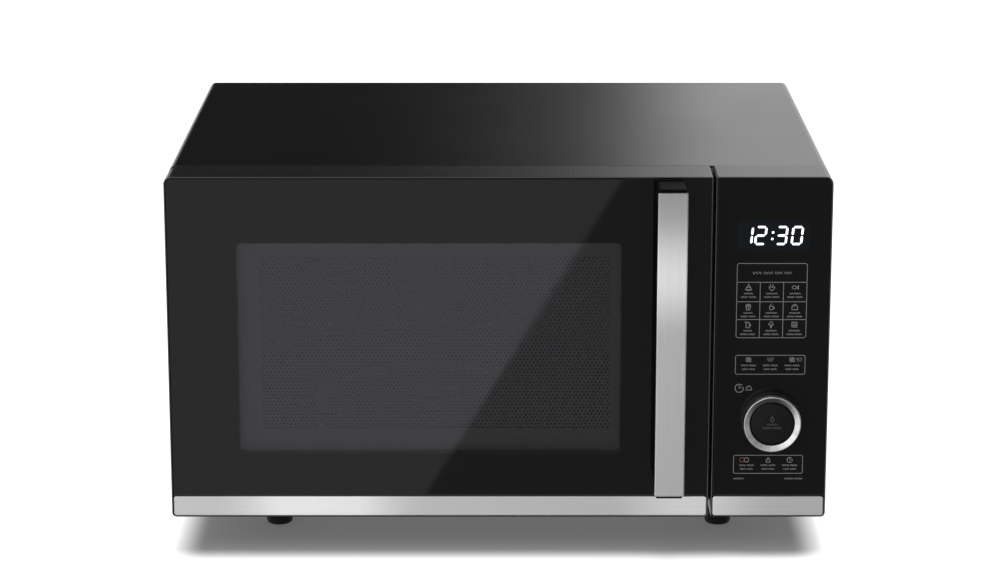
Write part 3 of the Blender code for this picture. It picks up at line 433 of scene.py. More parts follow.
def object_place(tree, scale=(1, 1, 1), centre=(0, 0, 0)):
    """Object coordinates measured from a centre and stretched."""
    source = add_node(tree, "TexCoord").outputs["Object"]
    shifted = add_node(tree, "VectorMath", {0: source, 1: centre}, operation="SUBTRACT").outputs[0]
    return add_node(tree, "VectorMath", {0: shifted, 1: scale}, operation="MULTIPLY").outputs[0]


def noise(tree, vector, scale, detail=3.0, rough=0.55):
    made = add_node(tree, "TexNoise", {"Vector": vector, "Scale": scale, "Detail": detail,
                                       "Roughness": rough})
    return made.outputs["Fac"]


def relief(tree, shader, height, depth, strength=1.0):
    """Bump of a real depth in metres from a 0 to 1 height."""
    made = add_node(tree, "Bump", {"Strength": strength, "Distance": depth, "Height": height})
    tree.links.new(made.outputs["Normal"], shader.inputs["Normal"])


def drive(tree, shader, **links):
    """Links made by other nodes into the shader's inputs: color, roughness, alpha, metallic."""
    names = {"color": "Base Color", "roughness": "Roughness", "alpha": "Alpha", "metallic": "Metallic"}
    for key, value in links.items():
        tree.links.new(value, shader.inputs[names[key]])


def box_distance(tree, centre, half, radius):
    """Distance in the XZ plane to a rounded rectangle, negative inside it: length(max(q, 0)) +
    min(max(qx, qz), 0) - r, with q = |p - c| - half + r."""
    place = add_node(tree, "SeparateXYZ", {0: object_place(tree, centre=(centre[0], 0, centre[1]))})
    reach = []
    for index, extent in ((0, half[0]), (2, half[1])):
        size = calculate(tree, "ABSOLUTE", place.outputs[index])
        reach.append(calculate(tree, "SUBTRACT", size, extent - radius))
    outside = [calculate(tree, "MAXIMUM", value, 0.0) for value in reach]
    squares = [calculate(tree, "POWER", value, 2.0) for value in outside]
    length = calculate(tree, "SQRT", calculate(tree, "ADD", *squares))
    inside = calculate(tree, "MINIMUM", calculate(tree, "MAXIMUM", *reach), 0.0)
    return calculate(tree, "SUBTRACT", calculate(tree, "ADD", length, inside), radius)


def painted_steel(name, color, roughness, grain=2.0e-5):
    """Baked powder paint: fine peel in the surface and slow changes of gloss."""
    material, tree, shader = new_finish(name, color, roughness, specular=0.5)
    place = object_place(tree)
    slow = noise(tree, place, 9.0, 2.0)
    peel = noise(tree, place, 1500.0, 2.0)
    drive(tree, shader, roughness=remap(tree, slow, 0.3, 0.7, roughness - 0.02, roughness + 0.02),
          color=tint(tree, slow, tuple(0.92 * part for part in color), tuple(1.08 * part for part in color)))
    relief(tree, shader, peel, grain, 0.25)
    return material


def moulded_plastic(name, color, roughness, texture=500.0, depth=1.0e-5, specular=1.0):
    """Injection moulded plastic: spark-eroded grain and faint flow shading."""
    material, tree, shader = new_finish(name, color, roughness, specular=specular)
    place = object_place(tree)
    flow = noise(tree, place, 14.0, 4.0)
    grain = noise(tree, place, texture * 3.0, 3.0)
    drive(tree, shader, color=tint(tree, flow, tuple(0.85 * part for part in color),
                                   tuple(1.15 * part for part in color)),
          roughness=remap(tree, grain, 0.25, 0.75, roughness - 0.04, roughness + 0.05))
    relief(tree, shader, grain, depth, 0.5)
    return material


def brushed_metal(name, color, roughness, stretch, metallic=0.95, axis=0, painted_sheen_bands=()):
    """Brushed sheet: long scratches, as noise stretched along the grain, change tone, gloss and relief.
    Painted sheen bands (centre, reach, amount) along one axis lighten the colour as a painted highlight or
    darken it as a painted shade, by amount * smoothstep(1 - |p - centre| / reach)."""
    material, tree, shader = new_finish(name, color, roughness, metallic)
    fine = noise(tree, object_place(tree, stretch), 1.0, 3.0, 0.6)
    broad = noise(tree, object_place(tree, tuple(part * 0.18 for part in stretch)), 1.0, 2.0)
    mixed = calculate(tree, "ADD", calculate(tree, "MULTIPLY", fine, 0.7),
                      calculate(tree, "MULTIPLY", broad, 0.3))
    place = add_node(tree, "SeparateXYZ", {0: object_place(tree)}).outputs[axis]
    level = 1.0
    # Painted sheen: each band makes the colour lighter or darker to stand in for a highlight or a shade
    for centre, reach, amount in painted_sheen_bands:
        away = calculate(tree, "ABSOLUTE", calculate(tree, "SUBTRACT", place, centre))
        level = calculate(tree, "ADD", remap(tree, away, reach, 0.0, 0.0, amount, smooth=True), level)
    shade = tint(tree, remap(tree, mixed, 0.3, 0.7, 0.0, 1.0), tuple(0.93 * part for part in color),
                 tuple(1.07 * part for part in color))
    shade = add_node(tree, "VectorMath", {0: shade, "Scale": level}, operation="SCALE").outputs[0]
    drive(tree, shader, color=shade,
          roughness=remap(tree, fine, 0.3, 0.7, roughness - 0.05, roughness + 0.06))
    relief(tree, shader, mixed, 6.0e-6, 0.35)
    return material


def spun_metal(name, color, roughness, centre):
    """Face turned on a lathe: rings of fine scratches about the axis, with painted sheen: a tone that changes
    by bearing, from full colour down to 0.72 of it, stands in for lit and shaded spokes.
    """
    material, tree, shader = new_finish(name, color, roughness, 1.0)
    place = object_place(tree, centre=centre)
    parts = add_node(tree, "SeparateXYZ", {0: place})
    square = calculate(tree, "ADD", calculate(tree, "POWER", parts.outputs[0], 2.0),
                       calculate(tree, "POWER", parts.outputs[2], 2.0))
    rings = noise(tree, add_node(tree, "CombineXYZ", {0: calculate(tree, "SQRT", square),
                                                     1: parts.outputs[1]}).outputs[0], 5200.0, 3.0)
    bearing = calculate(tree, "ARCTAN2", parts.outputs[2], parts.outputs[0])
    around = add_node(tree, "CombineXYZ", {0: calculate(tree, "COSINE", bearing),
                                           1: calculate(tree, "SINE", bearing)}).outputs[0]
    # Painted sheen: smooth tone by bearing that stands in for the lit and shaded spokes of a turned face
    rays = noise(tree, around, 3.4, 4.0, 0.7)
    drive(tree, shader, color=tint(tree, remap(tree, rays, 0.35, 0.65, 0.0, 1.0),
                                   tuple(0.72 * part for part in color), color),
          roughness=remap(tree, rings, 0.3, 0.7, roughness - 0.05, roughness + 0.06))
    relief(tree, shader, rings, 4.0e-6, 0.4)
    tangent = add_node(tree, "Tangent", direction_type="RADIAL", axis="Y")
    tree.links.new(tangent.outputs[0], shader.inputs["Tangent"])
    shader.inputs["Anisotropic"].default_value = 0.6
    return material


def galvanised_steel(name, color=(0.52, 0.53, 0.54), roughness=0.40):
    """Zinc coat: flat crystals of slightly different tone with soft edges."""
    material, tree, shader = new_finish(name, color, roughness, 0.9)
    crystals = add_node(tree, "TexVoronoi", {"Vector": object_place(tree), "Scale": 160.0},
                        feature="F1").outputs["Color"]
    tone = add_node(tree, "SeparateXYZ", {0: crystals}).outputs[0]
    fine = noise(tree, object_place(tree), 900.0)
    drive(tree, shader, color=tint(tree, tone, tuple(0.78 * part for part in color), color),
          roughness=remap(tree, tone, 0.0, 1.0, roughness - 0.08, roughness + 0.10))
    relief(tree, shader, fine, 8.0e-6, 0.4)
    return material


def speckled_enamel(name, color, fleck, roughness=0.28):
    """Fired enamel: glassy grey with darker flecks and a slightly wavy surface."""
    material, tree, shader = new_finish(name, color, roughness)
    flecks = noise(tree, object_place(tree), 1300.0, 1.0)
    waves = noise(tree, object_place(tree), 60.0, 2.0)
    drive(tree, shader, color=tint(tree, remap(tree, flecks, 0.60, 0.68, 0.0, 0.7), color, fleck),
          roughness=remap(tree, waves, 0.3, 0.7, roughness - 0.02, roughness + 0.03))
    relief(tree, shader, waves, 1.5e-5, 0.2)
    return material


def dull_rubber(name):
    """Moulded rubber with a chalky bloom and fine pits."""
    color = (0.005, 0.005, 0.0055)
    material, tree, shader = new_finish(name, color, 0.72, specular=0.2)
    bloom = noise(tree, object_place(tree), 90.0, 5.0)
    pits = noise(tree, object_place(tree), 1700.0)
    drive(tree, shader, color=tint(tree, bloom, color, (0.011, 0.011, 0.010)),
          roughness=remap(tree, pits, 0.3, 0.7, 0.62, 0.82))
    relief(tree, shader, pits, 3.0e-5, 0.5)
    return material


def tray_glass(name):
    """Pressed clear glass, faintly green and rippled, with grease marks in its gloss."""
    material, tree, shader = new_finish(name, (0.90, 0.96, 0.94), 0.03)
    marks = noise(tree, object_place(tree), 38.0, 5.0, 0.65)
    ripple = noise(tree, object_place(tree), 26.0, 1.0)
    drive(tree, shader, roughness=remap(tree, marks, 0.45, 0.75, 0.02, 0.16))
    relief(tree, shader, ripple, 1.0e-4, 0.15)
    shader.inputs["Transmission Weight"].default_value = 0.92
    shader.inputs["IOR"].default_value = 1.47
    return material


def thin_glass(name, color, opacity):
    """Flat clear pane seen mostly by its reflections, with a little dust."""
    material, tree, shader = new_finish(name, color, 0.05)
    dust = noise(tree, object_place(tree), 420.0, 4.0, 0.7)
    drive(tree, shader, alpha=remap(tree, dust, 0.5, 0.8, opacity, opacity + 0.10),
          roughness=remap(tree, dust, 0.5, 0.8, 0.04, 0.15))
    return material


def circuit_board(name):
    """Green lacquer over copper tracks that run in a right-angled pattern, with tinned pads."""
    material, tree, shader = new_finish(name, (0.02, 0.11, 0.04), 0.35)
    place = object_place(tree)
    tracks = add_node(tree, "TexBrick", {"Vector": place, "Scale": 150.0, "Mortar Size": 0.09,
                                         "Color1": (0, 0, 0, 1), "Color2": (0, 0, 0, 1),
                                         "Mortar": (1, 1, 1, 1)}).outputs["Color"]
    cells = add_node(tree, "TexVoronoi", {"Vector": place, "Scale": 210.0}, feature="F1")
    pads = remap(tree, cells.outputs["Distance"], 0.16, 0.20, 1.0, 0.0)
    lacquer = tint(tree, tracks, (0.012, 0.085, 0.030), (0.035, 0.17, 0.055))
    drive(tree, shader, color=tint(tree, pads, lacquer, (0.62, 0.60, 0.55)),
          metallic=calculate(tree, "MULTIPLY", pads, 0.9), roughness=remap(tree, pads, 0.0, 1.0, 0.33, 0.28))
    relief(tree, shader, tracks, 4.0e-5, 0.6)
    return material


def banded(name, dark, light, pitch, axis, roughness, metallic):
    """Wound or stacked layers: fine parallel bands along one axis, each a little different."""
    material, tree, shader = new_finish(name, light, roughness, metallic)
    place = object_place(tree)
    bands = add_node(tree, "TexWave", {"Vector": place, "Scale": 0.05 / pitch, "Distortion": 0.3,
                                       "Detail": 2.0, "Detail Scale": 40.0},
                     wave_type="BANDS", bands_direction=axis, wave_profile="SIN").outputs["Fac"]
    worn = noise(tree, place, 70.0, 4.0)
    shade = calculate(tree, "MULTIPLY", bands, remap(tree, worn, 0.3, 0.7, 0.75, 1.0))
    drive(tree, shader, color=tint(tree, shade, dark, light),
          roughness=remap(tree, worn, 0.3, 0.7, roughness - 0.08, roughness + 0.10))
    relief(tree, shader, bands, pitch * 0.3, 0.6)
    return material


def layered_mica(name):
    """Pressed mica flakes, silvery brown and slightly translucent in patches."""
    material, tree, shader = new_finish(name, (0.44, 0.38, 0.29), 0.38)
    flakes = add_node(tree, "TexVoronoi", {"Vector": object_place(tree, (1, 1, 1.6)), "Scale": 240.0},
                      feature="F1").outputs["Color"]
    tone = add_node(tree, "SeparateXYZ", {0: flakes}).outputs[0]
    drive(tree, shader, color=tint(tree, tone, (0.30, 0.25, 0.18), (0.55, 0.49, 0.39)),
          roughness=remap(tree, tone, 0.0, 1.0, 0.28, 0.55))
    relief(tree, shader, tone, 3.0e-5, 0.4)
    return material


def heated_steel(name):
    """Sheath of the grill element, oxidised by heat to brown and blue-grey in patches."""
    material, tree, shader = new_finish(name, (0.16, 0.14, 0.13), 0.45, 0.7)
    patches = noise(tree, object_place(tree), 34.0, 5.0, 0.65)
    fine = noise(tree, object_place(tree), 1400.0)
    drive(tree, shader, color=tint(tree, remap(tree, patches, 0.35, 0.65, 0.0, 1.0),
                                   (0.10, 0.075, 0.06), (0.21, 0.21, 0.23)),
          roughness=remap(tree, patches, 0.3, 0.7, 0.36, 0.58))
    relief(tree, shader, fine, 1.5e-5, 0.5)
    return material


def print_ink(name, color, glow=0.0):
    """Screen-printed ink with a fine uneven edge of tone, or a lit segment where it glows."""
    material, tree, shader = new_finish(name, color, 0.45)
    tone = noise(tree, object_place(tree), 2600.0, 2.0)
    drive(tree, shader, color=tint(tree, tone, tuple(0.86 * part for part in color), color))
    if glow:
        shader.inputs["Emission Color"].default_value = (*color, 1)
        tree.links.new(remap(tree, tone, 0.0, 1.0, glow * 0.94, glow * 1.06),
                       shader.inputs["Emission Strength"])
    return material


def door_glass_finish(name, look):
    """Toughened glass, painted black behind except for a smoked window: inside the window the pane
    lets part of the screen behind it show, and mirrors the surroundings in a tone of its own."""
    color = (0.0035, 0.0036, 0.0038)
    material, tree, shader = new_finish(name, color, 0.03, specular=look.glass_gloss)
    centre = (sum(look.window_x) / 2, sum(look.window_z) / 2)
    half = ((look.window_x[1] - look.window_x[0]) / 2, (look.window_z[1] - look.window_z[0]) / 2)
    distance = box_distance(tree, centre, half, look.window_corner)
    window = remap(tree, distance, -0.0005, 0.0004, 1.0, 0.0, smooth=True)
    wipe = noise(tree, object_place(tree, (9, 9, 3)), 4.0, 3.0)
    alpha = calculate(tree, "SUBTRACT", 1.0, calculate(tree, "MULTIPLY", window, 1 - look.window_tint))
    drive(tree, shader, alpha=alpha, metallic=window, color=tint(tree, window, color, look.window_gloss),
          roughness=remap(tree, wipe, 0.3, 0.7, 0.008, 0.022))
    return material


def fascia_glass_finish(name, look):
    """Black glass with a faintly blue display window that shows a little of its module's depth."""
    color = (0.0035, 0.0036, 0.0038)
    material, tree, shader = new_finish(name, color, 0.03, specular=look.glass_gloss)
    centre = ((DISPLAY_LOW.x + DISPLAY_HIGH.x) / 2, (DISPLAY_LOW.z + DISPLAY_HIGH.z) / 2)
    half = ((DISPLAY_HIGH.x - DISPLAY_LOW.x) / 2, (DISPLAY_HIGH.z - DISPLAY_LOW.z) / 2)
    distance = box_distance(tree, centre, half, 0.0015)
    window = remap(tree, distance, -0.0012, 0.0008, 1.0, 0.0, smooth=True)
    wipe = noise(tree, object_place(tree, (9, 9, 3)), 4.0, 3.0)
    drive(tree, shader, color=tint(tree, window, color, (0.0045, 0.0060, 0.0085)),
          roughness=remap(tree, wipe, 0.3, 0.7, 0.008, 0.022))
    return material


# ---------------------------------------------------------------- cabinet

def depth(distance):
    """World Y of a place that far behind the front of the door glass."""
    return GLASS_Y + distance


def wrap_path(offset, radius, breaks):
    """Path up the left side, over the top and down the right side, a given distance inside the sheet's
    outer face; the corners are quarter circles and the right side has extra points at the breaks."""
    low, left, right = WRAP_LOW.z, WRAP_LOW.x, WRAP_HIGH.x
    turn = spread(0, PI / 2, 9)
    bend = radius - offset
    rise = np.stack((left + radius - bend * np.cos(turn), TOP - radius + bend * np.sin(turn)), axis=-1)
    fall = np.stack((right - radius + bend * np.sin(turn), TOP - radius + bend * np.cos(turn)), axis=-1)
    side = np.array([(right - offset, z) for z in (*breaks, low)])
    return np.concatenate(([(left + offset, low)], rise, fall, side))


def add_cabinet(look):
    """Folded top and sides with louvre slots low in the right side, and a shallow base under it."""
    slot_z = (0.0800, 0.0450)
    starts = depth(0.2300) + 0.0100 * np.arange(9)
    rows = np.sort(np.concatenate(([WRAP_LOW.y, WRAP_HIGH.y], starts, starts + 0.0035)))
    outer, inner = [np.stack([stand(wrap_path(offset, look.corner, slot_z), y, "Y") for y in rows])
                    for offset in (0.0, SHEET)]
    for face in (outer, inner):
        face[0, :, 1] = np.where(face[0, :, 2] > TOP - 0.0010, depth(0.0355), WRAP_LOW.y)
    kept = np.ones((len(rows) - 1, outer.shape[1] - 1), dtype=bool)
    kept[1::2, -2] = False
    paint = painted_steel("cabinet_paint", look.paint, look.paint_roughness)
    wrap = add_piece("cabinet_shell", pierced(outer, inner, kept), paint, "root",
                     ["cabinet_wrap"])
    add_bevel(wrap, 0.00028)
    loop = rounded_loop((BASE_LOW.x, BASE_HIGH.x), (BASE_LOW.y, BASE_HIGH.y), 0.003)
    floor = BASE_LOW.z + SHEET
    layers = [(0.0006, BASE_LOW.z), (0.0002, BASE_LOW.z + 0.0002), (0, BASE_LOW.z + 0.0006), (0, BASE_HIGH.z),
              (SHEET, BASE_HIGH.z), (SHEET, floor + 0.001), (0.0020, floor)]
    add_piece("cabinet_base", layered(loop, layers, "Z"),
              galvanised_steel("base_zinc", (0.30, 0.31, 0.32)), "root",
              ["base_plate"])


def add_feet():
    """Four soft feet: a waisted stem with a rounded tread and a ring of ribs."""
    rubber = dull_rubber("foot_rubber")
    for name in ("foot_front_left", "foot_front_right", "foot_rear_left", "foot_rear_right"):
        low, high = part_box(name)
        centre = ((low.x + high.x) / 2, (low.y + high.y) / 2)
        top = WRAP_LOW.z - 0.0003
        profile = [(0.0000, 0.0000), (0.0080, 0.0000), (0.0090, 0.0016), (0.0090, 0.0060), (0.0076, 0.0066),
                   (0.0080, 0.0110), (0.0076, 0.0118), (0.0082, 0.0165), (0.0085, top - 0.0020),
                   (0.0110, top - 0.0014), (0.0110, top), (0.0035, top), (0.0035, high.z), (0.0000, high.z)]
        surfaces = turned(softened(profile, 0.0012, closed=False), centre, "Z", 40)
        add_piece(name + "_moulded", surfaces, rubber, "root", [name])


def add_back():
    """Rear sheet of the frame with its screws, and the bush for the mains cord."""
    zinc = galvanised_steel("back_zinc", (0.50, 0.51, 0.52), 0.42)
    dress(zinc, "back_panel")
    side, high, low = BACK_HIGH.x - 0.010, BACK_HIGH.z - 0.008, BACK_LOW.z + 0.008
    places = [(-side, high), (0.0, high), (side, high), (-side, low), (0.02, low), (side, low),
              (-side, 0.145), (side, 0.125)]
    face = BACK_HIGH.y
    profile = [(0.0000, face + 0.0010), (0.0022, face + 0.0009), (0.0034, face + 0.0003), (0.0035, face),
               (0.0016, face), (0.0016, face - 0.0050), (0.0000, face - 0.0056)]
    surfaces, recesses = [], []
    for place in places:
        surfaces += turned(softened(profile, 0.0002, closed=False, steps=2), place, "Y", 20)
        for across, up in ((0.0016, 0.00035), (0.00035, 0.0016)):
            recesses.append(((place[0] - across, face + 0.0004, place[1] - up),
                             (place[0] + across, face + 0.0020, place[1] + up)))
    screws = add_piece("cabinet_screws", surfaces, galvanised_steel("screw_zinc"), "root")
    carve(screws, "screw_recess", recesses)
    low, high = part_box("cord_gland")
    rear = high.y
    profile = [(0.0040, rear - 0.0100), (0.0079, rear - 0.0100), (0.0079, rear - 0.0017),
               (0.0110, rear - 0.0017),
               (0.0110, rear - 0.0009), (0.0094, rear), (0.0040, rear)]
    gland = turned(softened(profile, 0.0004), ((low.x + high.x) / 2, (low.z + high.z) / 2), "Y", 40,
                   closed=True)
    add_piece("cord_gland_moulded", gland, dull_rubber("gland_rubber"), "root", ["cord_gland"])


def add_cavity(look):
    """Enamelled oven box with rounded long edges, its ports, and the plate round its mouth."""
    enamel = speckled_enamel("cavity_enamel_grey", look.enamel, tuple(0.35 * part for part in look.enamel))
    front, rear = LINER_LOW.y, LINER_HIGH.y
    outer_x, outer_z = (LINER_LOW.x, LINER_HIGH.x), (LINER_LOW.z, LINER_HIGH.z)
    loop = rounded_loop(outer_x, outer_z, 0.008)
    turn = spread(0, PI / 2, 5)
    bend = 0.006
    layers = [(bend - SHEET, rear), (0.0015, rear - 0.0015), (0, rear - bend), (0, front), (SHEET, front)]
    layers += [(SHEET + bend * (1 - math.cos(t)), rear - SHEET - bend * (1 - math.sin(t))) for t in turn]
    liner = add_piece("cavity_box", layered(loop, layers), enamel, "root", ["cavity_liner"])
    wall = LINER_HIGH.x
    ports = [((wall - 0.003, depth(0.1402), 0.1452), (wall + 0.002, depth(0.2098), 0.1848))]
    for index in range(5):
        start = depth(0.1000 + index * 0.0040)
        ports.append(((wall - 0.003, start, 0.1900), (wall + 0.002, start + 0.0020, 0.2100)))
    carve(liner, "cavity_ports", ports)
    dress(enamel, "front_plate")


def add_grill():
    """Sheathed element bent to and fro under the ceiling: straight runs joined by half circles."""
    low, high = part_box("grill_heater")
    radius = (high.z - low.z) / 2
    height = (low.z + high.z) / 2
    passes = spread(low.y + radius, high.y - radius, 4)
    bend = (passes[1] - passes[0]) / 2
    left, right = low.x + radius + bend, 0.0400
    turn = spread(0, PI, 17)
    parts = [[(high.x, passes[0])], [(right, passes[0])]]
    sides = ((left, -1), (right, 1), (left, -1))
    for index, (place, side) in enumerate(sides):
        middle = (passes[index] + passes[index + 1]) / 2
        parts.append(np.stack((place + side * bend * np.sin(turn), middle - bend * np.cos(turn)), axis=-1))
    parts += [[(right, passes[3])], [(high.x, passes[3])]]
    plan = np.concatenate(parts)
    path = stand(plan, height, "Z")
    add_piece("grill_element", tube(path, radius, (0, 0, 1), 16), heated_steel("element_sheath"), "root",
              ["grill_heater"])
    dress(galvanised_steel("element_strap", (0.40, 0.40, 0.40), 0.35), "grill_support")


# ---------------------------------------------------------------- door

def moulded_shell(right, left_edge, radii, rear, hole, pocket, centre, rear_place):
    """Moulding open behind: outer walls, a rounded rim, the seat, an opening through the front wall, and
    the hollow behind, as one closed ring of loops."""
    def outline(start):
        return rounded_loop((start, right), (WRAP_LOW.z, TOP), radii)

    loops = [(outline(start), place) for start, place in rear]
    left = left_edge
    loops += [(outline(left), depth(0.0009)), (inset(outline(left), 0.00012), depth(0.00045)),
              (inset(outline(left), 0.0004), depth(0.0003)),
              (inset(outline(left), RIM - 0.0003), depth(0.0003)),
              (inset(outline(left), RIM - 0.0001), depth(0.0004)), (inset(outline(left), RIM), depth(0.0007)),
              (inset(outline(left), RIM), depth(SEAT)), (hole, depth(SEAT)), (hole, depth(0.0080)),
              (pocket, depth(0.0080)), (pocket, rear_place)]
    return holed(loops, centre)


def pocket_loop(margin, right):
    """Hollow behind the door's front wall, with both left corners kept for the hinge pins."""
    left, step = FRAME_LOW.x + 0.0025 + margin, -0.2055 + margin
    low, high = WRAP_LOW.z + 0.0025 + margin, TOP - 0.0025 - margin
    corner = 0.0195
    return np.array([(step, low), (right, low), (right, high), (step, high), (step, high - corner),
                     (left, high - corner), (left, low + corner), (step, low + corner)])


def divider(left, right):
    """Moulded bar between the glass and the strip under it."""
    low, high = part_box("door_trim_strip")[1].z + 0.0003, GLASS_LOW.z - 0.0003
    return box_surface((left, depth(0.0012), low), (right, depth(SEAT + 0.0010), high), 0.0001)


def add_door_frame(look):
    """Moulded door body with its rear left edge rounded about the hinge pins, and the ring that closes
    the choke behind it."""
    gloss = moulded_plastic("door_gloss_plastic", look.plastic, look.plastic_roughness, depth=3.0e-6)
    pin_x, pin_depth = -0.2140, 0.0290
    radius = pin_x - FRAME_LOW.x - 0.0001
    centre = (-0.0470, 0.1415)
    hole = rounded_loop((-0.1900, 0.0960), (0.0540, 0.2290), 0.003)
    reach = math.acos(0.0038 / radius)
    rear = [(pin_x - radius * math.cos(t), depth(pin_depth + radius * math.sin(t)))
            for t in spread(reach, 0, 6)]
    side_end = rear[0][1] + 0.0001

    def rear_place(flat):
        """The left wall ends a little sooner, clear of the plate as the door turns."""
        return np.where(flat[:, 0] < -0.2160, side_end, depth(0.0350))

    rear.insert(0, (rear[0][0], rear_place))
    shell = moulded_shell(FRAME_HIGH.x, FRAME_LOW.x, (0.003, 0.0012, 0.0012, look.corner), rear, hole,
                          pocket_loop(0, FRAME_HIGH.x - 0.0025), centre, rear_place)
    shell += divider(FRAME_LOW.x + RIM, FRAME_HIGH.x - RIM)
    body = add_piece("door_moulding", shell, gloss, "door", ["door_frame"])
    notches = []
    for middle in (0.2480, 0.0336):
        notches.append(((FRAME_LOW.x - 0.001, depth(0.0225), middle - 0.0016),
                        (-0.2075, depth(0.036), middle + 0.0016)))
    carve(body, "hinge_notches", notches)

    matt = moulded_plastic("choke_matt_plastic", (0.016, 0.016, 0.017), 0.48, 300.0, 3.0e-5)
    opening = rounded_loop((-0.1800, 0.0860), (0.0640, 0.2190), 0.002)
    ring = holed_slab(pocket_loop(0.0004, FRAME_HIGH.x - 0.0029), opening, centre, depth(0.0300),
                      depth(0.0345),
                      0.0006)
    cover = add_piece("choke_ring", ring, matt, "door", ["door_choke_cover"])
    slots = []
    for middle in (0.0900, 0.2100):
        slots.append(((0.1233, depth(0.0290), middle - 0.0100), (0.1307, depth(0.0360), middle + 0.0090)))
    carve(cover, "hook_slots", slots)
    pane = box_surface((-0.1797, depth(0.0310), 0.0643), (0.0857, depth(0.0325), 0.2187), 0.0004)
    add_piece("inner_window_pane", pane, thin_glass("inner_window_glass", (0.02, 0.02, 0.02), 0.14), "door",
              ["door_inner_window"])


def hexagon_mesh(zone_x, zone_z, pitch, share, front, back):
    """Staggered round-looking holes: six-sided cells that tile the zone, each with a smaller six-sided
    hole. Centres are (pitch (i + j mod 2 / 2), pitch j sin 60), corners at radius pitch / (2 cos 30)."""
    step = pitch * math.sin(PI / 3)
    columns = np.arange(int((zone_x[1] - zone_x[0]) / pitch) + 1)
    lines = np.arange(int((zone_z[1] - zone_z[0]) / step) + 1)
    across, up = np.meshgrid(columns, lines)
    centres = np.stack((zone_x[0] + pitch * (across + (up % 2) / 2), zone_z[0] + step * up), axis=-1)
    centres = centres.reshape(-1, 1, 2)
    turn = PI / 6 + PI / 3 * np.arange(6)
    corner = np.stack((np.cos(turn), np.sin(turn)), axis=-1)[None]
    reach = pitch / (2 * math.cos(PI / 6))
    rings = [centres + corner * reach, centres + corner * reach * share]
    flat = np.concatenate((rings[0], rings[1], rings[1], rings[0]), axis=1)
    along = np.broadcast_to(np.repeat([front, front, back, back], 6), flat.shape[:2])
    points = np.stack((flat[..., 0], along, flat[..., 1]), axis=-1).reshape(-1, 3)
    here, after = np.arange(6), (np.arange(6) + 1) % 6
    sides = [np.stack((here + low, after + low, after + low + 6, here + low + 6), axis=-1)
             for low in (0, 6, 12)]
    cell = np.concatenate(sides)
    faces = (cell[None] + 24 * np.arange(len(centres))[:, None, None]).reshape(-1, 4)
    return [(points, faces)]


def add_door_screen(look):
    """Painted steel pan behind the glass: a flat face with folded walls and a perforated field."""
    paint = painted_steel("screen_paint", look.screen_paint, 0.5, 4.0e-5)
    front, back = SCREEN_LOW.y, SCREEN_LOW.y + SHEET
    field = rounded_loop(look.screen_x, look.screen_z, 0.002)
    outer, wall = pocket_loop(0.0006, SCREEN_HIGH.x), pocket_loop(0.0006 + SHEET, SCREEN_HIGH.x - SHEET)
    loops = [(outer, SCREEN_HIGH.y), (outer, front + 0.0006), (inset(outer, 0.0006), front), (field, front),
             (field, back), (wall, back), (wall, SCREEN_HIGH.y)]
    add_piece("choke_pan", holed(loops, (-0.0470, 0.1415)), paint, "door", ["door_screen"])
    edge = 0.0012
    zone_x = (look.screen_x[0] - edge, look.screen_x[1] + edge)
    zone_z = (look.screen_z[0] - edge, look.screen_z[1] + edge)
    holes = hexagon_mesh(zone_x, zone_z, look.hole_pitch, look.hole_share, front + 0.0003, front + 0.0005)
    add_piece("perforated_field", holes, paint, "door")


def add_door_glass(look):
    """Outer pane with ground edges, painted black behind except for its window."""
    loop = rounded_loop((GLASS_LOW.x, GLASS_HIGH.x), (GLASS_LOW.z, GLASS_HIGH.z),
                        (0.0008, 0.0008, 0.0008, look.corner - 0.001))
    add_piece("door_pane", slab(loop, GLASS_Y, GLASS_HIGH.y, look.glass_edge),
              door_glass_finish("door_glass", look),
              "door", ["door_glass"])


def add_strips(look):
    """Brushed strips along the bottom of the door and the panel, with rounded corners and edges."""
    # The bands paint two highlight humps into the strips' colour, one left of the middle and one on the panel
    finish = brushed_metal("strip_brushed_painted_sheen", look.strip, look.strip_roughness, (14.0, 900.0, 3200.0),
                           painted_sheen_bands=((-0.1202, 0.074, 0.74), (0.1292, 0.060, 0.46)))
    for node, body in (("door_trim_strip", "door"), ("panel_trim_strip", "root")):
        low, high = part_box(node)
        loop = rounded_loop((low.x, high.x), (low.z, high.z), look.strip_corner)
        add_piece(node + "_brushed", slab(loop, low.y, high.y, look.metal_edge, far_edge=0.0001), finish,
                  body,
                  [node])


def add_handle(look):
    """Bracket handle: a moulded bar on two arms, faced with a brushed plate."""
    low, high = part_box("handle_core")
    arm, rise = 0.0140, 0.0060
    glass_side, back = high.y, GLASS_Y - 0.0210
    outline = [(glass_side, low.z), (glass_side, low.z + arm), (back, low.z + arm + rise),
               (back, high.z - arm - rise), (glass_side, high.z - arm), (glass_side, high.z),
               (low.y, high.z), (low.y, low.z)]
    gloss = moulded_plastic("handle_plastic", look.plastic, 0.50, depth=3.0e-6, specular=0.03)
    add_piece("handle_grip", slab(softened(outline, 0.0012), low.x, high.x, 0.0010, "X"), gloss, "door",
              ["handle_core"])
    low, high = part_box("handle_plate")
    # The bands paint a highlight into the plate's colour low down and a darker painted shade near its top
    plate = brushed_metal("handle_brushed_painted_sheen", look.handle_metal, look.handle_roughness, (3200.0, 900.0, 14.0),
                          axis=2, painted_sheen_bands=((0.1970, 0.042, 0.62), (0.2600, 0.045, -0.34)))
    loop = rounded_loop((low.x, high.x), (low.z, high.z), 0.0012)
    add_piece("handle_face", slab(loop, low.y, high.y, look.handle_edge, far_edge=0.0001), plate, "door",
              ["handle_plate"])
    dress(galvanised_steel("handle_screw_zinc"), "handle_screw_lower", "handle_screw_upper")


# ---------------------------------------------------------------- control panel

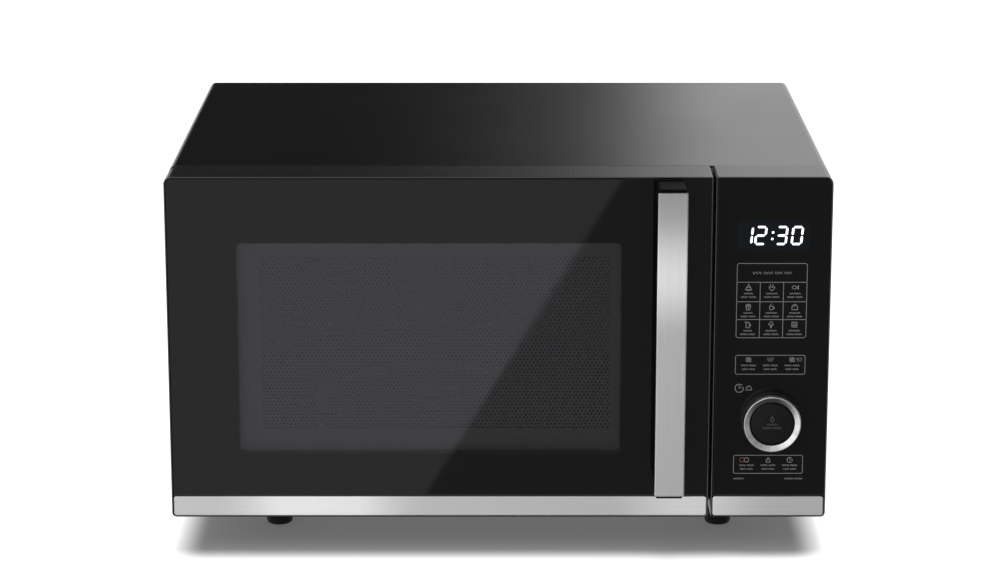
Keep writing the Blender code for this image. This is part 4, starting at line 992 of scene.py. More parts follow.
def add_panel(look):
    """Moulded box of the control panel, its black glass and what stands on the board behind it."""
    gloss = moulded_plastic("panel_gloss_plastic", look.plastic, look.plastic_roughness, depth=3.0e-6)
    left, right = HOUSING_LOW.x, HOUSING_HIGH.x
    rear = depth(0.0357)
    pocket = rounded_loop((left + 0.0025, right - 0.0025), (WRAP_LOW.z + 0.0025, TOP - 0.0025), 0.002)
    shell = moulded_shell(right, left, (0.0012, 0.003, look.corner, 0.0012), [(left, rear)],
                          circle((KNOB_X, KNOB_Z), 0.0155), pocket, (KNOB_X, KNOB_Z), rear)
    shell += divider(left + RIM, right - RIM)
    housing = add_piece("panel_moulding", shell, gloss, "root", ["control_housing"])
    carve(housing, "display_port", [((DISPLAY_LOW.x - 0.0003, depth(0.002), DISPLAY_LOW.z - 0.0003),
                                     (DISPLAY_HIGH.x + 0.0003, depth(0.009), DISPLAY_HIGH.z + 0.0003))])
    loop = rounded_loop((FASCIA_LOW.x, FASCIA_HIGH.x), (FASCIA_LOW.z, FASCIA_HIGH.z),
                        (0.0008, 0.0008, look.corner - 0.001, 0.0008))
    pane = holed_slab(loop, circle((KNOB_X, KNOB_Z), 0.0154, 64), (KNOB_X, KNOB_Z), GLASS_Y, FASCIA_HIGH.y,
                      look.glass_edge)
    add_piece("fascia_pane", pane, fascia_glass_finish("fascia_glass", look), "root",
              ["control_fascia"])
    plastic = moulded_plastic("module_plastic", (0.02, 0.02, 0.022), 0.5)
    dress(plastic, "display_module", "encoder_body")
    dress(circuit_board("board_lacquer"), "control_board")


def add_knob(look):
    """Turned selector ring with a sloping brushed face, and the round key inside it."""
    centre = (KNOB_X, KNOB_Z)
    profile = [(0.0201, -0.0006), (0.0201, -0.0060), (0.0198, -0.0094), (0.0188, -0.0116), (0.0149, -0.0102),
               (0.0149, -0.0030), (0.0136, -0.0030), (0.0136, 0.0075), (0.0149, 0.0075), (0.0149, -0.0006)]
    profile = [(radius, depth(place)) for radius, place in profile]
    metal = spun_metal("selector_spun", look.knob_metal, look.knob_roughness, (KNOB_X, 0, KNOB_Z))
    add_piece("selector_ring", turned(softened(profile, 0.0005), centre, "Y", 128, closed=True), metal,
              "knob",
              ["knob_ring"], flat_faces=False)
    profile = [(0.0000, -0.0104), (0.0060, -0.01035), (0.0136, -0.0100), (0.0146, -0.0092), (0.0146, -0.0050),
               (0.0045, -0.0050), (0.0045, 0.0180), (0.0000, 0.0180)]
    profile = [(radius, depth(place)) for radius, place in profile]
    gloss = moulded_plastic("key_satin_plastic", (0.0045, 0.0047, 0.0048), 0.30, 700.0, 4.0e-6, 0.15)
    add_piece("start_key_cap", turned(softened(profile, 0.0004, closed=False), centre, "Y", 96), gloss,
              "start_key", ["start_button"])
    front = depth(-0.01042)
    unit = 0.0034
    flame = unit * (np.array(ICONS["start"][0]) - 0.5) + np.array([KNOB_X, KNOB_Z + 0.0036])
    lines = ribbon(flame, 0.00035, front, front + 0.00006, closed=True)
    lines += label_line(KNOB_X, KNOB_Z - 0.0002, 0.0070, front, 0.0013)
    lines += label_line(KNOB_X, KNOB_Z - 0.0026, 0.0125, front, 0.0013)
    add_piece("start_key_print", lines, print_ink("key_ink", look.key_ink), "start_key")


def bowed(start, end, rise, count=7):
    """Arc-like curve between two points: straight line plus rise (1 - (2t - 1)^2) across it."""
    start, end = np.array(start, float), np.array(end, float)
    t = spread(0, 1, count)[:, None]
    across = np.array([start[1] - end[1], end[0] - start[0]])
    across = across / np.linalg.norm(across)
    return start + (end - start) * t + across * rise * (1 - (2 * t - 1) ** 2)


def icon_ring(radius=0.5, start=0.0, end=2 * PI, count=20):
    """Part of a circle inside the unit square."""
    turn = spread(start, end, count)
    return np.stack((0.5 + radius * np.cos(turn), 0.5 + radius * np.sin(turn)), axis=-1)


# Pictograms drawn in a unit square as open lines
ICONS = {
    "slice": [[(0.0, 0.12), (1.0, 0.12), (0.5, 1.0), (0.0, 0.12)], bowed((0.30, 0.42), (0.70, 0.42), 0.12),
              bowed((0.0, 0.12), (1.0, 0.12), -0.12)],
    "pot": [bowed((0.0, 0.55), (1.0, 0.55), -0.55), [(0.0, 0.55), (1.0, 0.55)],
            bowed((0.25, 0.68), (0.35, 1.0), 0.08), bowed((0.55, 0.68), (0.65, 1.0), -0.08)],
    "fish": [bowed((0.0, 0.5), (0.72, 0.5), 0.28), bowed((0.0, 0.5), (0.72, 0.5), -0.28),
             [(0.72, 0.5), (1.0, 0.78), (1.0, 0.22), (0.72, 0.5)]],
    "tub": [[(0.12, 0.62), (0.25, 0.0), (0.75, 0.0), (0.88, 0.62), (0.12, 0.62)], [(0.5, 0.05), (0.5, 0.55)],
            bowed((0.12, 0.66), (0.5, 0.66), 0.28), bowed((0.5, 0.66), (0.88, 0.66), 0.28)],
    "cup": [[(0.15, 0.6), (0.25, 0.05), (0.72, 0.05), (0.82, 0.6), (0.15, 0.6)],
            bowed((0.80, 0.50), (0.75, 0.18), 0.22), bowed((0.4, 0.72), (0.5, 1.0), 0.07)],
    "loaf": [[(0.05, 0.05), (0.95, 0.05), (0.95, 0.5)], bowed((0.95, 0.5), (0.05, 0.5), -0.42),
             [(0.05, 0.5), (0.05, 0.05)], bowed((0.35, 0.5), (0.62, 0.75), 0.05)],
    "jug": [[(0.2, 0.0), (0.75, 0.0), (0.7, 0.85), (0.05, 0.95), (0.25, 0.7), (0.2, 0.0)],
            bowed((0.72, 0.7), (0.74, 0.2), 0.25)],
    "tree": [bowed((0.12, 0.45), (0.88, 0.45), 0.55), [(0.12, 0.45), (0.88, 0.45)],
             [(0.42, 0.42), (0.42, 0.0), (0.58, 0.0), (0.58, 0.42)]],
    "packet": [[(0.1, 0.1), (0.9, 0.1), (0.9, 0.9), (0.1, 0.9), (0.1, 0.1)], [(0.1, 0.35), (0.9, 0.35)],
               [(0.25, 0.6), (0.75, 0.6)]],
    "waves": [np.stack((spread(0, 1, 17), height + 0.12 * np.sin(spread(0, 4 * PI, 17))), axis=-1)
              for height in (0.25, 0.55, 0.85)],
    "grill": [[(0.0, 0.95), (0.17, 0.15), (0.33, 0.95), (0.5, 0.15), (0.67, 0.95), (0.83, 0.15),
               (1.0, 0.95)]],
    "clock": [icon_ring(0.5, 0.25 * PI, 2.1 * PI), [(0.5, 0.85), (0.5, 0.5), (0.78, 0.62)]],
    "weight": [[(0.0, 0.2), (1.0, 0.2), (0.85, 0.75), (0.15, 0.75), (0.0, 0.2)],
               [(0.35, 0.95), (0.65, 0.95)]],
    "ring": [icon_ring(0.42)],
    "lock": [[(0.15, 0.0), (0.85, 0.0), (0.85, 0.5), (0.15, 0.5), (0.15, 0.0)],
             bowed((0.28, 0.5), (0.72, 0.5), 0.45)],
    "start": [[(0.5, 1.0), (0.85, 0.35), (0.62, 0.0), (0.38, 0.0), (0.15, 0.35)]],
}


def label_line(middle, height, width, front, size=0.0011):
    """Small marks where a caption is printed: a zigzag of z = a (-1)^n, broken into words."""
    count = max(int(width / (size * 0.62)), 3)
    x = spread(middle - width / 2, middle + width / 2, count)
    z = height + size / 2 * (-1.0) ** np.arange(count)
    path = np.stack((x, z), axis=-1)
    words = np.array_split(path, max(count // 6, 1))
    return [surface for word in words if len(word) > 1
            for surface in ribbon(word, 0.00024, front, front + 0.00003)]


def icon(name, place, size, front, width=0.00034):
    """Pictogram centred on a place on the panel."""
    surfaces = []
    for line in ICONS[name]:
        path = (np.array(line, float) - 0.5) * size + np.array(place)
        gone = np.linalg.norm(np.diff(path, axis=0), axis=1) > 1e-7
        surfaces += ribbon(path[np.concatenate(([True], gone))], width, front, front + 0.00003)
    return surfaces


def add_print(look):
    """Touch keys printed on the fascia: three framed groups of pictograms with caption marks."""
    front = depth(-0.00004)
    back = front + 0.00003
    middle = (FASCIA_LOW.x + FASCIA_HIGH.x) / 2 - 0.0006
    half = look.key_group_width / 2
    left, right = middle - half, middle + half
    rows = TOP - np.array([0.0583, 0.0711, 0.0844, 0.0966, 0.1091])
    columns = spread(left, right, 4)
    line = look.line_width
    frames = ribbon(rounded_loop((left, right), (rows[-1], rows[0]), 0.0015), line, front, back, closed=True)
    for row in rows[1:-1]:
        frames += ribbon([(left, row), (right, row)], line, front, back)
    for column in columns[1:-1]:
        frames += ribbon([(column, rows[1]), (column, rows[-1])], line, front - 0.00001, back)
    groups = ((TOP - 0.1343, TOP - 0.1212), (TOP - 0.2035, TOP - 0.1908))
    for low, high in groups:
        frames += ribbon(rounded_loop((left, right), (low, high), 0.0012), line, front, back, closed=True)
    ink = print_ink("frame_ink", look.frame_ink)
    add_piece("key_frames_print", frames, ink, "root")

    names = (("slice", "pot", "fish"), ("tub", "cup", "loaf"), ("jug", "tree", "packet"))
    marks = label_line(middle, (rows[0] + rows[1]) / 2, 0.0260, front, 0.0016)
    size = 0.0042
    for row, line_names in enumerate(names):
        for column, name in enumerate(line_names):
            x = (columns[column] + columns[column + 1]) / 2
            high = rows[row + 1]
            marks += icon(name, (x, high - 0.0035), size, front)
            marks += label_line(x, high - 0.0077, 0.0075 if column else 0.0060, front)
            marks += label_line(x, high - 0.0101, 0.0100, front)
    places = middle + np.array([-0.0145, 0.0, 0.0145])
    for (low, high), icons in zip(groups, (("waves", "grill", "waves"), ("ring", "lock", "clock"))):
        for x, name in zip(places, icons):
            marks += icon(name, (x, high - 0.0032), 0.0036, front)
            marks += label_line(x, high - 0.0070, 0.0100, front)
            marks += label_line(x, high - 0.0096, 0.0086, front)
    marks += icon("grill", (places[2] + 0.0048, groups[0][1] - 0.0032), 0.0034, front)
    marks += icon("clock", (left + 0.0028, TOP - 0.1440), 0.0056, front, 0.00042)
    marks += icon("weight", (left + 0.0092, TOP - 0.1440), 0.0040, front)
    marks += label_line(left + 0.0035, TOP - 0.2072, 0.0070, front)
    marks += label_line(right - 0.0060, TOP - 0.2072, 0.0120, front)
    add_piece("key_marks_print", marks, print_ink("mark_ink", look.mark_ink), "root")
    stop = icon("ring", (places[0] - 0.0030, groups[1][1] - 0.0032), 0.0036, front - 0.00002)
    add_piece("stop_mark_print", stop, print_ink("stop_ink", look.stop_ink), "root")


# Strokes of a seven-part figure on a 1 by 2 cell, each between two corners
STROKES = {"a": ((0, 2), (1, 2)), "b": ((1, 2), (1, 1)), "c": ((1, 1), (1, 0)), "d": ((0, 0), (1, 0)),
           "e": ((0, 1), (0, 0)), "f": ((0, 2), (0, 1)), "g": ((0, 1), (1, 1))}
FIGURES = {"1": "bc", "2": "abged", "3": "abgcd", "0": "abcdef"}


def stroke_surface(start, end, cell, origin, thick, slant, front):
    """One lit bar: a strip with pointed ends, sheared by x' = x + slant z."""
    start = np.array(start, float) * cell
    end = np.array(end, float) * cell
    along = (end - start) / np.linalg.norm(end - start)
    across = np.array([-along[1], along[0]])
    start, end = start + along * thick * 0.22, end - along * thick * 0.22
    half = thick / 2
    outline = np.array([start, start + (along - across) * half, end - (along + across) * half, end,
                        end - (along - across) * half, start + (along + across) * half])
    outline[:, 0] += slant * outline[:, 1]
    rings = np.array([stand(outline + origin, place, "Y") for place in (front, front + 0.00006)])
    return [grid(rings, close_columns=True), cap(rings[0]), cap(rings[1])]


def add_clock(look):
    """Lit time on the display: slanted seven-part figures and two dots."""
    front = depth(-0.00008)
    height = look.figure_height
    cell = np.array([height * 0.50, height * 0.46])
    thick, slant = height * 0.115, 0.10
    low = TOP - 0.0333 - height + thick / 2
    start = (DISPLAY_LOW.x + DISPLAY_HIGH.x) / 2 - 0.0185
    surfaces = []
    for figure, offset in (("1", -0.0023), ("2", 0.0066), ("3", 0.0204), ("0", 0.0306)):
        for stroke in FIGURES[figure]:
            surfaces += stroke_surface(*STROKES[stroke], cell, np.array([start + offset, low]), thick,
                                       slant, front)
    for rise in (0.30, 0.68):
        dot = circle((start + 0.0175 + slant * height * rise, low + height * 0.92 * rise), thick * 0.55, 16)
        surfaces += layered(dot, [(0, front), (0, front + 0.00006)])
    add_piece("clock_figures", surfaces, print_ink("lit_figure", look.figure_color, look.figure_glow), "root")


# ---------------------------------------------------------------- turntable

def add_turntable(look):
    """Glass tray with a raised rim, moulded rings and drive lugs; the ring and three wheels it rolls on;
    and the coupler on the motor's shaft."""
    centre = (TABLE_X, TABLE_Y)
    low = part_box("roller_wheel_1")[1].z + 0.0003
    profile = [(0.0000, low), (0.0300, low), (0.0310, low + 0.0006), (0.0330, low + 0.0006), (0.0340, low),
               (0.1000, low), (0.1120, low), (0.1190, low + 0.0015), (0.1274, low + 0.0125),
               (0.1272, low + 0.0135), (0.1252, low + 0.0135), (0.1165, low + 0.0050), (0.1110, low + 0.0040),
               (0.0700, low + 0.0040), (0.0695, low + 0.0036), (0.0680, low + 0.0036), (0.0675, low + 0.0040),
               (0.0000, low + 0.0040)]
    surfaces = turned(softened(profile, 0.0012, closed=False), centre, "Z", 128)
    for index in range(3):
        angle = math.radians(60 + 120 * index)
        lug = [(0.0000, low - 0.0045), (0.0024, low - 0.0045), (0.0030, low - 0.0036), (0.0032, low + 0.0006),
               (0.0000, low + 0.0006)]
        place = (TABLE_X + 0.0145 * math.cos(angle), TABLE_Y + 0.0145 * math.sin(angle))
        surfaces += turned(softened(lug, 0.0005, closed=False), place, "Z", 20)
    add_piece("turntable_tray", surfaces, tray_glass("tray_clear_glass"), "turntable",
              ["glass_turntable"])

    pale = moulded_plastic("roller_pale_plastic", look.pale_plastic, 0.42, 400.0, 1.2e-5)
    ring_low, ring_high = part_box("roller_wheel_1")
    axis_z = (ring_low.z + ring_high.z) / 2
    band = [(0.0780, axis_z - 0.0028), (0.0850, axis_z - 0.0028), (0.0850, axis_z + 0.0028),
            (0.0842, axis_z + 0.0028), (0.0838, axis_z + 0.0012), (0.0792, axis_z + 0.0012),
            (0.0788, axis_z + 0.0028), (0.0780, axis_z + 0.0028)]
    ring = turned(softened(band, 0.0004, steps=2), centre, "Z", 96, closed=True)
    axle = [(0.0000, 0.0830), (0.0019, 0.0830), (0.0019, 0.0934), (0.0032, 0.0936), (0.0028, 0.0951),
            (0.0000, 0.0952)]
    wheel = [(0.0022, 0.0870), (0.0034, 0.0870), (0.0036, 0.0878), (0.0060, 0.0878), (0.0062, 0.0870),
             (0.0070, 0.0870), (0.0077, 0.0877), (0.0077, 0.0923), (0.0070, 0.0930), (0.0062, 0.0930),
             (0.0060, 0.0922), (0.0036, 0.0922), (0.0034, 0.0930), (0.0022, 0.0930)]
    axis = (TABLE_Y, axis_z)
    for index in range(3):
        angle = PI / 2 + 2 * PI * index / 3
        placed = [(radius, TABLE_X + reach) for radius, reach in axle]
        ring += [(turned_about(points, centre, angle), faces)
                 for points, faces in turned(placed, axis, "X", 16)]
        placed = [(radius, TABLE_X + reach) for radius, reach in wheel]
        wheels = [(turned_about(points, centre, angle), faces)
                  for points, faces in turned(softened(placed, 0.0003, steps=2), axis, "X", 40, closed=True)]
        number = index + 1
        add_piece("roller_%d_moulded" % number, wheels, pale, "wheel_%d" % number,
                  ["roller_wheel_%d" % number])
    add_piece("roller_ring_moulded", ring, pale, "roller_carrier", ["roller_ring"])

    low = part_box("turntable_coupler")[0]
    hub = [(0.0000, low.z), (0.0030, low.z), (0.0030, 0.0448), (0.0088, 0.0448), (0.0090, 0.0468),
           (0.0086, 0.0570), (0.0000, 0.0572)]
    coupler = turned(softened(hub, 0.0006, closed=False), centre, "Z", 40)
    for index in range(3):
        arm = rounded_loop((TABLE_X + 0.0050, TABLE_X + 0.0200), (TABLE_Y - 0.0034, TABLE_Y + 0.0034),
                           0.0022, 4)
        for points, faces in slab(arm, 0.0500, 0.0598, 0.0006, "Z"):
            coupler.append((turned_about(points, centre, 2 * PI * index / 3), faces))
    add_piece("coupler_moulded", coupler, pale, "turntable", ["turntable_coupler"])


# ---------------------------------------------------------------- inner works

def add_works(look):
    """Finishes of the parts inside the cabinet and the door."""
    zinc = galvanised_steel("works_zinc")
    pale = moulded_plastic("works_pale_plastic", look.pale_plastic, 0.45)
    dark = moulded_plastic("works_dark_plastic", (0.020, 0.020, 0.022), 0.5)
    board = circuit_board("filter_lacquer")
    laminated = banded("laminated_iron", (0.07, 0.07, 0.075), (0.22, 0.22, 0.23), 0.0005, "X", 0.45, 0.7)
    wound = banded("copper_winding", (0.28, 0.09, 0.035), (0.75, 0.33, 0.15), 0.0008, "Z", 0.32, 0.8)
    dress(zinc, "hinge_upper", "hinge_lower", "waveguide", "magnetron", "hv_capacitor", "turntable_motor",
          "latch_spring")
    dress(pale, "door_latch", "latch_bracket", "lamp_holder", "fan_blade", "thermal_cutout")
    dress(dark, "switch_lower", "switch_upper", "switch_monitor", "hv_diode", "fan_shroud", "air_guide")
    dress(laminated, "transformer_core", "fan_motor")
    dress(wound, "transformer_coils")
    dress(board, "noise_filter")
    dress(layered_mica("port_mica"), "waveguide_cover")
    dress(thin_glass("lamp_glass", (0.85, 0.86, 0.84), 0.30), "cavity_lamp")


# ---------------------------------------------------------------- stage

def add_floor(look):
    """Pale seamless floor: a wide sheet that falls away by h = -k r^4 far from the object, glowing by itself
    except for a painted shadow under the object.
    """
    reach = spread(-1, 1, 41) ** 3 * look.floor_size / 2
    x, y = np.meshgrid(reach, reach)
    drop = -0.5 * (np.hypot(x, y) / look.floor_size) ** 4
    material, tree, shader = new_finish("floor_paper", look.floor_color, 0.85, specular=0.1)
    fibre = noise(tree, object_place(tree), 700.0, 4.0)
    drive(tree, shader, color=tint(tree, fibre, tuple(0.985 * part for part in look.floor_color),
                                   look.floor_color))
    # The floor glows by itself: evenly bright beside the oven and much less under it, a painted shadow whose
    # soft edge is the edge width
    shader.inputs["Emission Color"].default_value = (1, 1, 1, 1)
    place = object_place(tree, centre=(0, (GLASS_Y + WRAP_HIGH.y) / 2, 0))
    from_middle = add_node(tree, "SeparateXYZ", {0: place})
    half = (WRAP_HIGH.x - 0.023, (WRAP_HIGH.y - GLASS_Y) / 2 - 0.004)
    beyond = [calculate(tree, "MAXIMUM", calculate(tree, "SUBTRACT", calculate(
        tree, "ABSOLUTE", from_middle.outputs[index]), half[index]), 0.0) for index in (0, 1)]
    away = calculate(tree, "SQRT", calculate(tree, "ADD", calculate(tree, "POWER", beyond[0], 2.0),
                                             calculate(tree, "POWER", beyond[1], 2.0)))
    under, beside = look.floor_glow_and_painted_shadow
    # Painted shadow: low glow inside the box under the oven, rising to the bright floor's glow outside it
    glow = remap(tree, away, 0.002, look.painted_shadow_edge, under, beside, smooth=True)
    tree.links.new(glow, shader.inputs["Emission Strength"])
    relief(tree, shader, fibre, 2.0e-5, 0.2)
    mesh = build_mesh("floor", [grid(np.stack((x, y, drop), axis=-1))])
    if mesh.polygons[0].normal.z < 0:
        mesh.flip_normals()
    mesh.materials.append(material)
    floor = bpy.data.objects.new("floor", mesh)
    floor.visible_glossy = False
    bpy.context.scene.collection.objects.link(floor)


def light_world(look):
    """Soft surroundings by direction. Behind: a bright wall to the right, another far to the left and a
    bright horizon, with a dim stretch between them, and dim high up. In front: a bright patch low down,
    to the left of a slanting edge, bright above it on the left only, and dim straight down."""
    world = bpy.data.worlds.new("studio")
    world.use_nodes = True
    tree = world.node_tree
    tree.nodes.clear()
    bearing = add_node(tree, "SeparateXYZ", {0: add_node(tree, "TexCoord").outputs["Generated"]})
    x, y, z = bearing.outputs
    reach = calculate(tree, "MAXIMUM", calculate(tree, "ABSOLUTE", y), 0.05)
    across, rise = calculate(tree, "DIVIDE", x, reach), calculate(tree, "DIVIDE", z, reach)

    tail = remap(tree, across, -0.035, 0.045, 0.0, look.back_tail, smooth=True)
    wall = remap(tree, across, 0.030, 0.074, 0.0, look.back_wall, smooth=True)
    side = remap(tree, across, -0.16, -0.36, 0.0, look.back_wall, smooth=True)
    horizon = remap(tree, rise, 0.05, 0.0, 0.0, look.back_wall, smooth=True)
    lit = calculate(tree, "MAXIMUM", calculate(tree, "MAXIMUM", wall, side), horizon)
    back = calculate(tree, "ADD", calculate(tree, "ADD", lit, tail), look.back_dim)
    back = calculate(tree, "MULTIPLY", back, remap(tree, rise, 0.9, 0.45, 0.25, 1.0, smooth=True))

    edge = calculate(tree, "ADD", calculate(tree, "MULTIPLY", rise, 0.60), 0.172)
    past = calculate(tree, "SUBTRACT", across, edge)
    patch = remap(tree, past, -0.0015, 0.0015, look.front_patch, look.front_fill, smooth=True)
    above = remap(tree, across, -0.15, 0.20, look.front_above, look.front_dim, smooth=True)
    front = remap(tree, rise, -0.12, 0.15, 0.0, 1.0, smooth=True)
    front = add_node(tree, "Mix", {0: front, 2: patch, 3: above}).outputs[0]

    front = calculate(tree, "MULTIPLY", front, remap(tree, rise, -1.0, -0.45, 0.1, 1.0, smooth=True))

    facing = remap(tree, y, -0.05, 0.05, 0.0, 1.0, smooth=True)
    light = add_node(tree, "Mix", {0: facing, 2: front, 3: back}).outputs[0]
    shade = add_node(tree, "Background", {"Strength": light})
    output = add_node(tree, "OutputWorld", {"Surface": shade.outputs[0]})
    output.is_active_output = True
    bpy.context.scene.world = world


def add_lamp(name, tilt, strength, angle):
    """Distant lamp overhead, tilted about the X axis, as wide as the given angle in degrees."""
    data = bpy.data.lights.new(name, "SUN")
    data.energy = strength
    data.angle = math.radians(angle)
    lamp = bpy.data.objects.new(name, data)
    lamp.location = (0, 0, 3)
    lamp.rotation_euler = (tilt, 0, 0)
    lamp.visible_glossy = False
    bpy.context.scene.collection.objects.link(lamp)


def add_stage(look):
    """Floor, surroundings, a wide overhead lamp and the camera."""
    add_floor(look)
    light_world(look)
    add_lamp("overhead", look.overhead_tilt, look.overhead, look.overhead_angle)
    scene = bpy.context.scene
    scene.view_settings.view_transform = "Standard"
    camera_data = bpy.data.cameras.new("camera")
    camera_data.lens = look.lens
    camera_data.sensor_width = 36.0
    camera = bpy.data.objects.new("camera", camera_data)
    camera.location = look.camera_place
    camera.rotation_euler = (PI / 2 - look.camera_pitch, 0, 0)
    scene.collection.objects.link(camera)
    scene.camera = camera


# ---------------------------------------------------------------- settings

def length(name, description, default, low=0.0, high=1.0):
    """Length setting in metres."""
    return FloatProperty(name=name, description=description, default=default, min=low, max=high,
                         subtype="DISTANCE", unit="LENGTH", precision=5)


def span(name, description, default):
    """Pair of places in metres."""
    return FloatVectorProperty(name=name, description=description, default=default, size=2,
                               subtype="NONE", unit="LENGTH", precision=4)


def share(name, description, default, high=1.0):
    """Setting without a unit."""
    return FloatProperty(name=name, description=description, default=default, min=0.0, max=high)


def tone(name, description, default):
    """Linear colour."""
    return FloatVectorProperty(name=name, description=description, default=default, size=3,
                               min=0.0, max=1.0, subtype="COLOR")


class OvenCabinetLook(bpy.types.PropertyGroup):
    """Cabinet, cavity and inner works"""
    corner: length("Corner", "Radius of the cabinet's long top edges", 0.005)
    paint: tone("Paint", "Colour of the cabinet's paint", (0.0020, 0.0020, 0.0022))
    paint_roughness: share("Paint roughness", "Blur of the paint's reflections", 0.20)
    enamel: tone("Enamel", "Colour of the cavity", (0.30, 0.31, 0.32))
    pale_plastic: tone("Pale plastic", "Colour of latch, rollers and fan", (0.70, 0.69, 0.65))


class OvenDoorLook(bpy.types.PropertyGroup):
    """Door, its glass, its handle and the strips"""
    corner: length("Corner", "Radius of the top corners of the face", 0.005)
    plastic: tone("Plastic", "Colour of the gloss mouldings", (0.0030, 0.0030, 0.0032))
    plastic_roughness: share("Plastic roughness", "Blur of the mouldings' reflections", 0.26)
    glass_edge: length("Glass edge", "Radius of the ground glass edges", 0.0005)
    glass_gloss: share("Glass gloss", "Strength of the glass's reflections", 0.21)
    window_x: span("Window sides", "Left and right limits of the clear window", (-0.1731, 0.0811))
    window_z: span("Window height", "Lower and upper limits of the clear window", (0.0687, 0.2133))
    window_corner: length("Window corner", "Corner radius of the clear window", 0.0032)
    window_gloss: tone("Window gloss", "Reflection of the smoked window", (0.068, 0.068, 0.073))
    window_tint: share("Window tint", "Opacity of each face of the smoked window", 0.30)
    screen_x: span("Screen sides", "Left and right limits of the holes", (-0.1586, 0.0743))
    screen_z: span("Screen height", "Lower and upper limits of the holes", (0.0833, 0.2033))
    hole_pitch: length("Hole pitch", "Distance between screen holes", 0.0026)
    hole_share: share("Hole size", "Width of a hole against its cell", 0.50)
    screen_paint: tone("Screen paint", "Colour of the steel screen", (0.050, 0.050, 0.054))
    strip: tone("Strip", "Colour of the bottom strips", (0.66, 0.66, 0.67))
    strip_roughness: share("Strip roughness", "Blur of the strips' reflections", 0.36)
    strip_corner: length("Strip corner", "Corner radius of the strips", 0.0016)
    metal_edge: length("Strip edge", "Radius of the strips' edges", 0.0005)
    handle_metal: tone("Handle plate", "Colour of the handle's face", (0.60, 0.60, 0.61))
    handle_roughness: share("Plate roughness", "Blur of the plate's reflections", 0.34)
    handle_edge: length("Plate edge", "Radius of the plate's edges", 0.0008)


class OvenPanelLook(bpy.types.PropertyGroup):
    """Control panel, its print and the selector"""
    corner: length("Corner", "Radius of the panel's top right corner", 0.005)
    plastic: tone("Plastic", "Colour of the panel's moulding", (0.0030, 0.0030, 0.0032))
    plastic_roughness: share("Plastic roughness", "Blur of the moulding's reflections", 0.26)
    glass_edge: length("Glass edge", "Radius of the ground glass edges", 0.0005)
    glass_gloss: share("Glass gloss", "Strength of the glass's reflections", 0.15)
    key_group_width: length("Key width", "Width of each framed group of keys", 0.0463)
    line_width: length("Line width", "Width of the frames round the keys", 0.00042)
    frame_ink: tone("Frame ink", "Colour of the frames", (0.17, 0.17, 0.175))
    mark_ink: tone("Mark ink", "Colour of pictograms and captions", (0.24, 0.24, 0.245))
    stop_ink: tone("Stop ink", "Colour of the stop mark", (0.20, 0.055, 0.045))
    key_ink: tone("Key ink", "Colour of the start key's marks", (0.075, 0.078, 0.078))
    figure_height: length("Figure height", "Height of the lit figures", 0.0125)
    figure_color: tone("Figure colour", "Colour of the lit figures", (1.0, 1.0, 1.0))
    figure_glow: share("Figure glow", "Strength of the lit figures", 1.1, 10.0)
    knob_metal: tone("Selector metal", "Colour of the selector ring", (0.80, 0.80, 0.80))
    knob_roughness: share("Selector roughness", "Blur of the ring's reflections", 0.30)


class OvenStageLook(bpy.types.PropertyGroup):
    """Floor, lights and camera"""
    floor_size: length("Floor", "Side of the floor sheet", 40.0, 1.0, 100.0)
    floor_color: tone("Floor colour", "Colour of the floor", (0.36, 0.36, 0.36))
    # Glow of the floor: the value under the oven is a painted shadow, the value beside it an even white floor
    floor_glow_and_painted_shadow: FloatVectorProperty(name="Floor fill",
                                    description="Light the floor gives by itself under the "
                                    "oven and beside it", default=(0.095, 0.93), size=2, subtype="NONE")
    # Width of the painted shadow's soft edge
    painted_shadow_edge: length("Shadow edge", "Width over which the floor under the oven brightens", 0.030)
    overhead: share("Overhead", "Strength of the overhead lamp", 1.6, 20.0)
    overhead_angle: share("Overhead angle", "Width of the overhead lamp in degrees", 16.0, 90.0)
    overhead_tilt: FloatProperty(name="Overhead tilt", description="Angle the overhead lamp leans by",
                                 default=math.radians(-4.0), subtype="ANGLE", unit="ROTATION")
    front_fill: share("Front fill", "Brightness low in front", 0.52, 10.0)
    front_patch: share("Front patch", "Brightness of the patch low in front", 1.50, 10.0)
    front_above: share("Front above", "Brightness high in front on the left", 1.6, 10.0)
    front_dim: share("Front dim", "Brightness high in front on the right", 0.33, 10.0)
    back_dim: share("Back dim", "Brightness behind on the left", 0.026, 10.0)
    back_tail: share("Back tail", "Extra brightness behind the middle", 0.13, 10.0)
    back_wall: share("Back wall", "Brightness behind on the right and at the horizon", 1.02, 10.0)
    lens: share("Lens", "Focal length in millimetres", 110.6, 500.0)
    camera_place: FloatVectorProperty(name="Camera place", description="Where the camera stands",
                                      default=(0.001, -2.123, 0.687), size=3, subtype="TRANSLATION",
                                      unit="LENGTH")
    camera_pitch: FloatProperty(name="Camera pitch", description="Angle the camera looks down by",
                                default=math.radians(14.24), subtype="ANGLE", unit="ROTATION")


# ---------------------------------------------------------------- operators

class OvenOperator:
    """Options that every step shares"""
    bl_options = {"REGISTER", "UNDO"}


class OVEN_OT_cabinet(OvenOperator, bpy.types.Operator):
    """Cabinet shell, base, feet and back"""
    bl_idname = "oven.cabinet"
    bl_label = "Cabinet"

    def execute(self, context):
        add_cabinet(context.scene.oven_cabinet)
        add_feet()
        add_back()
        return {"FINISHED"}


class OVEN_OT_cavity(OvenOperator, bpy.types.Operator):
    """Enamelled cavity and grill element"""
    bl_idname = "oven.cavity"
    bl_label = "Cavity and grill"

    def execute(self, context):
        add_cavity(context.scene.oven_cabinet)
        add_grill()
        return {"FINISHED"}


class OVEN_OT_door(OvenOperator, bpy.types.Operator):
    """Door moulding, perforated screen and glass"""
    bl_idname = "oven.door"
    bl_label = "Door"

    def execute(self, context):
        add_door_frame(context.scene.oven_door)
        add_door_screen(context.scene.oven_door)
        add_door_glass(context.scene.oven_door)
        return {"FINISHED"}


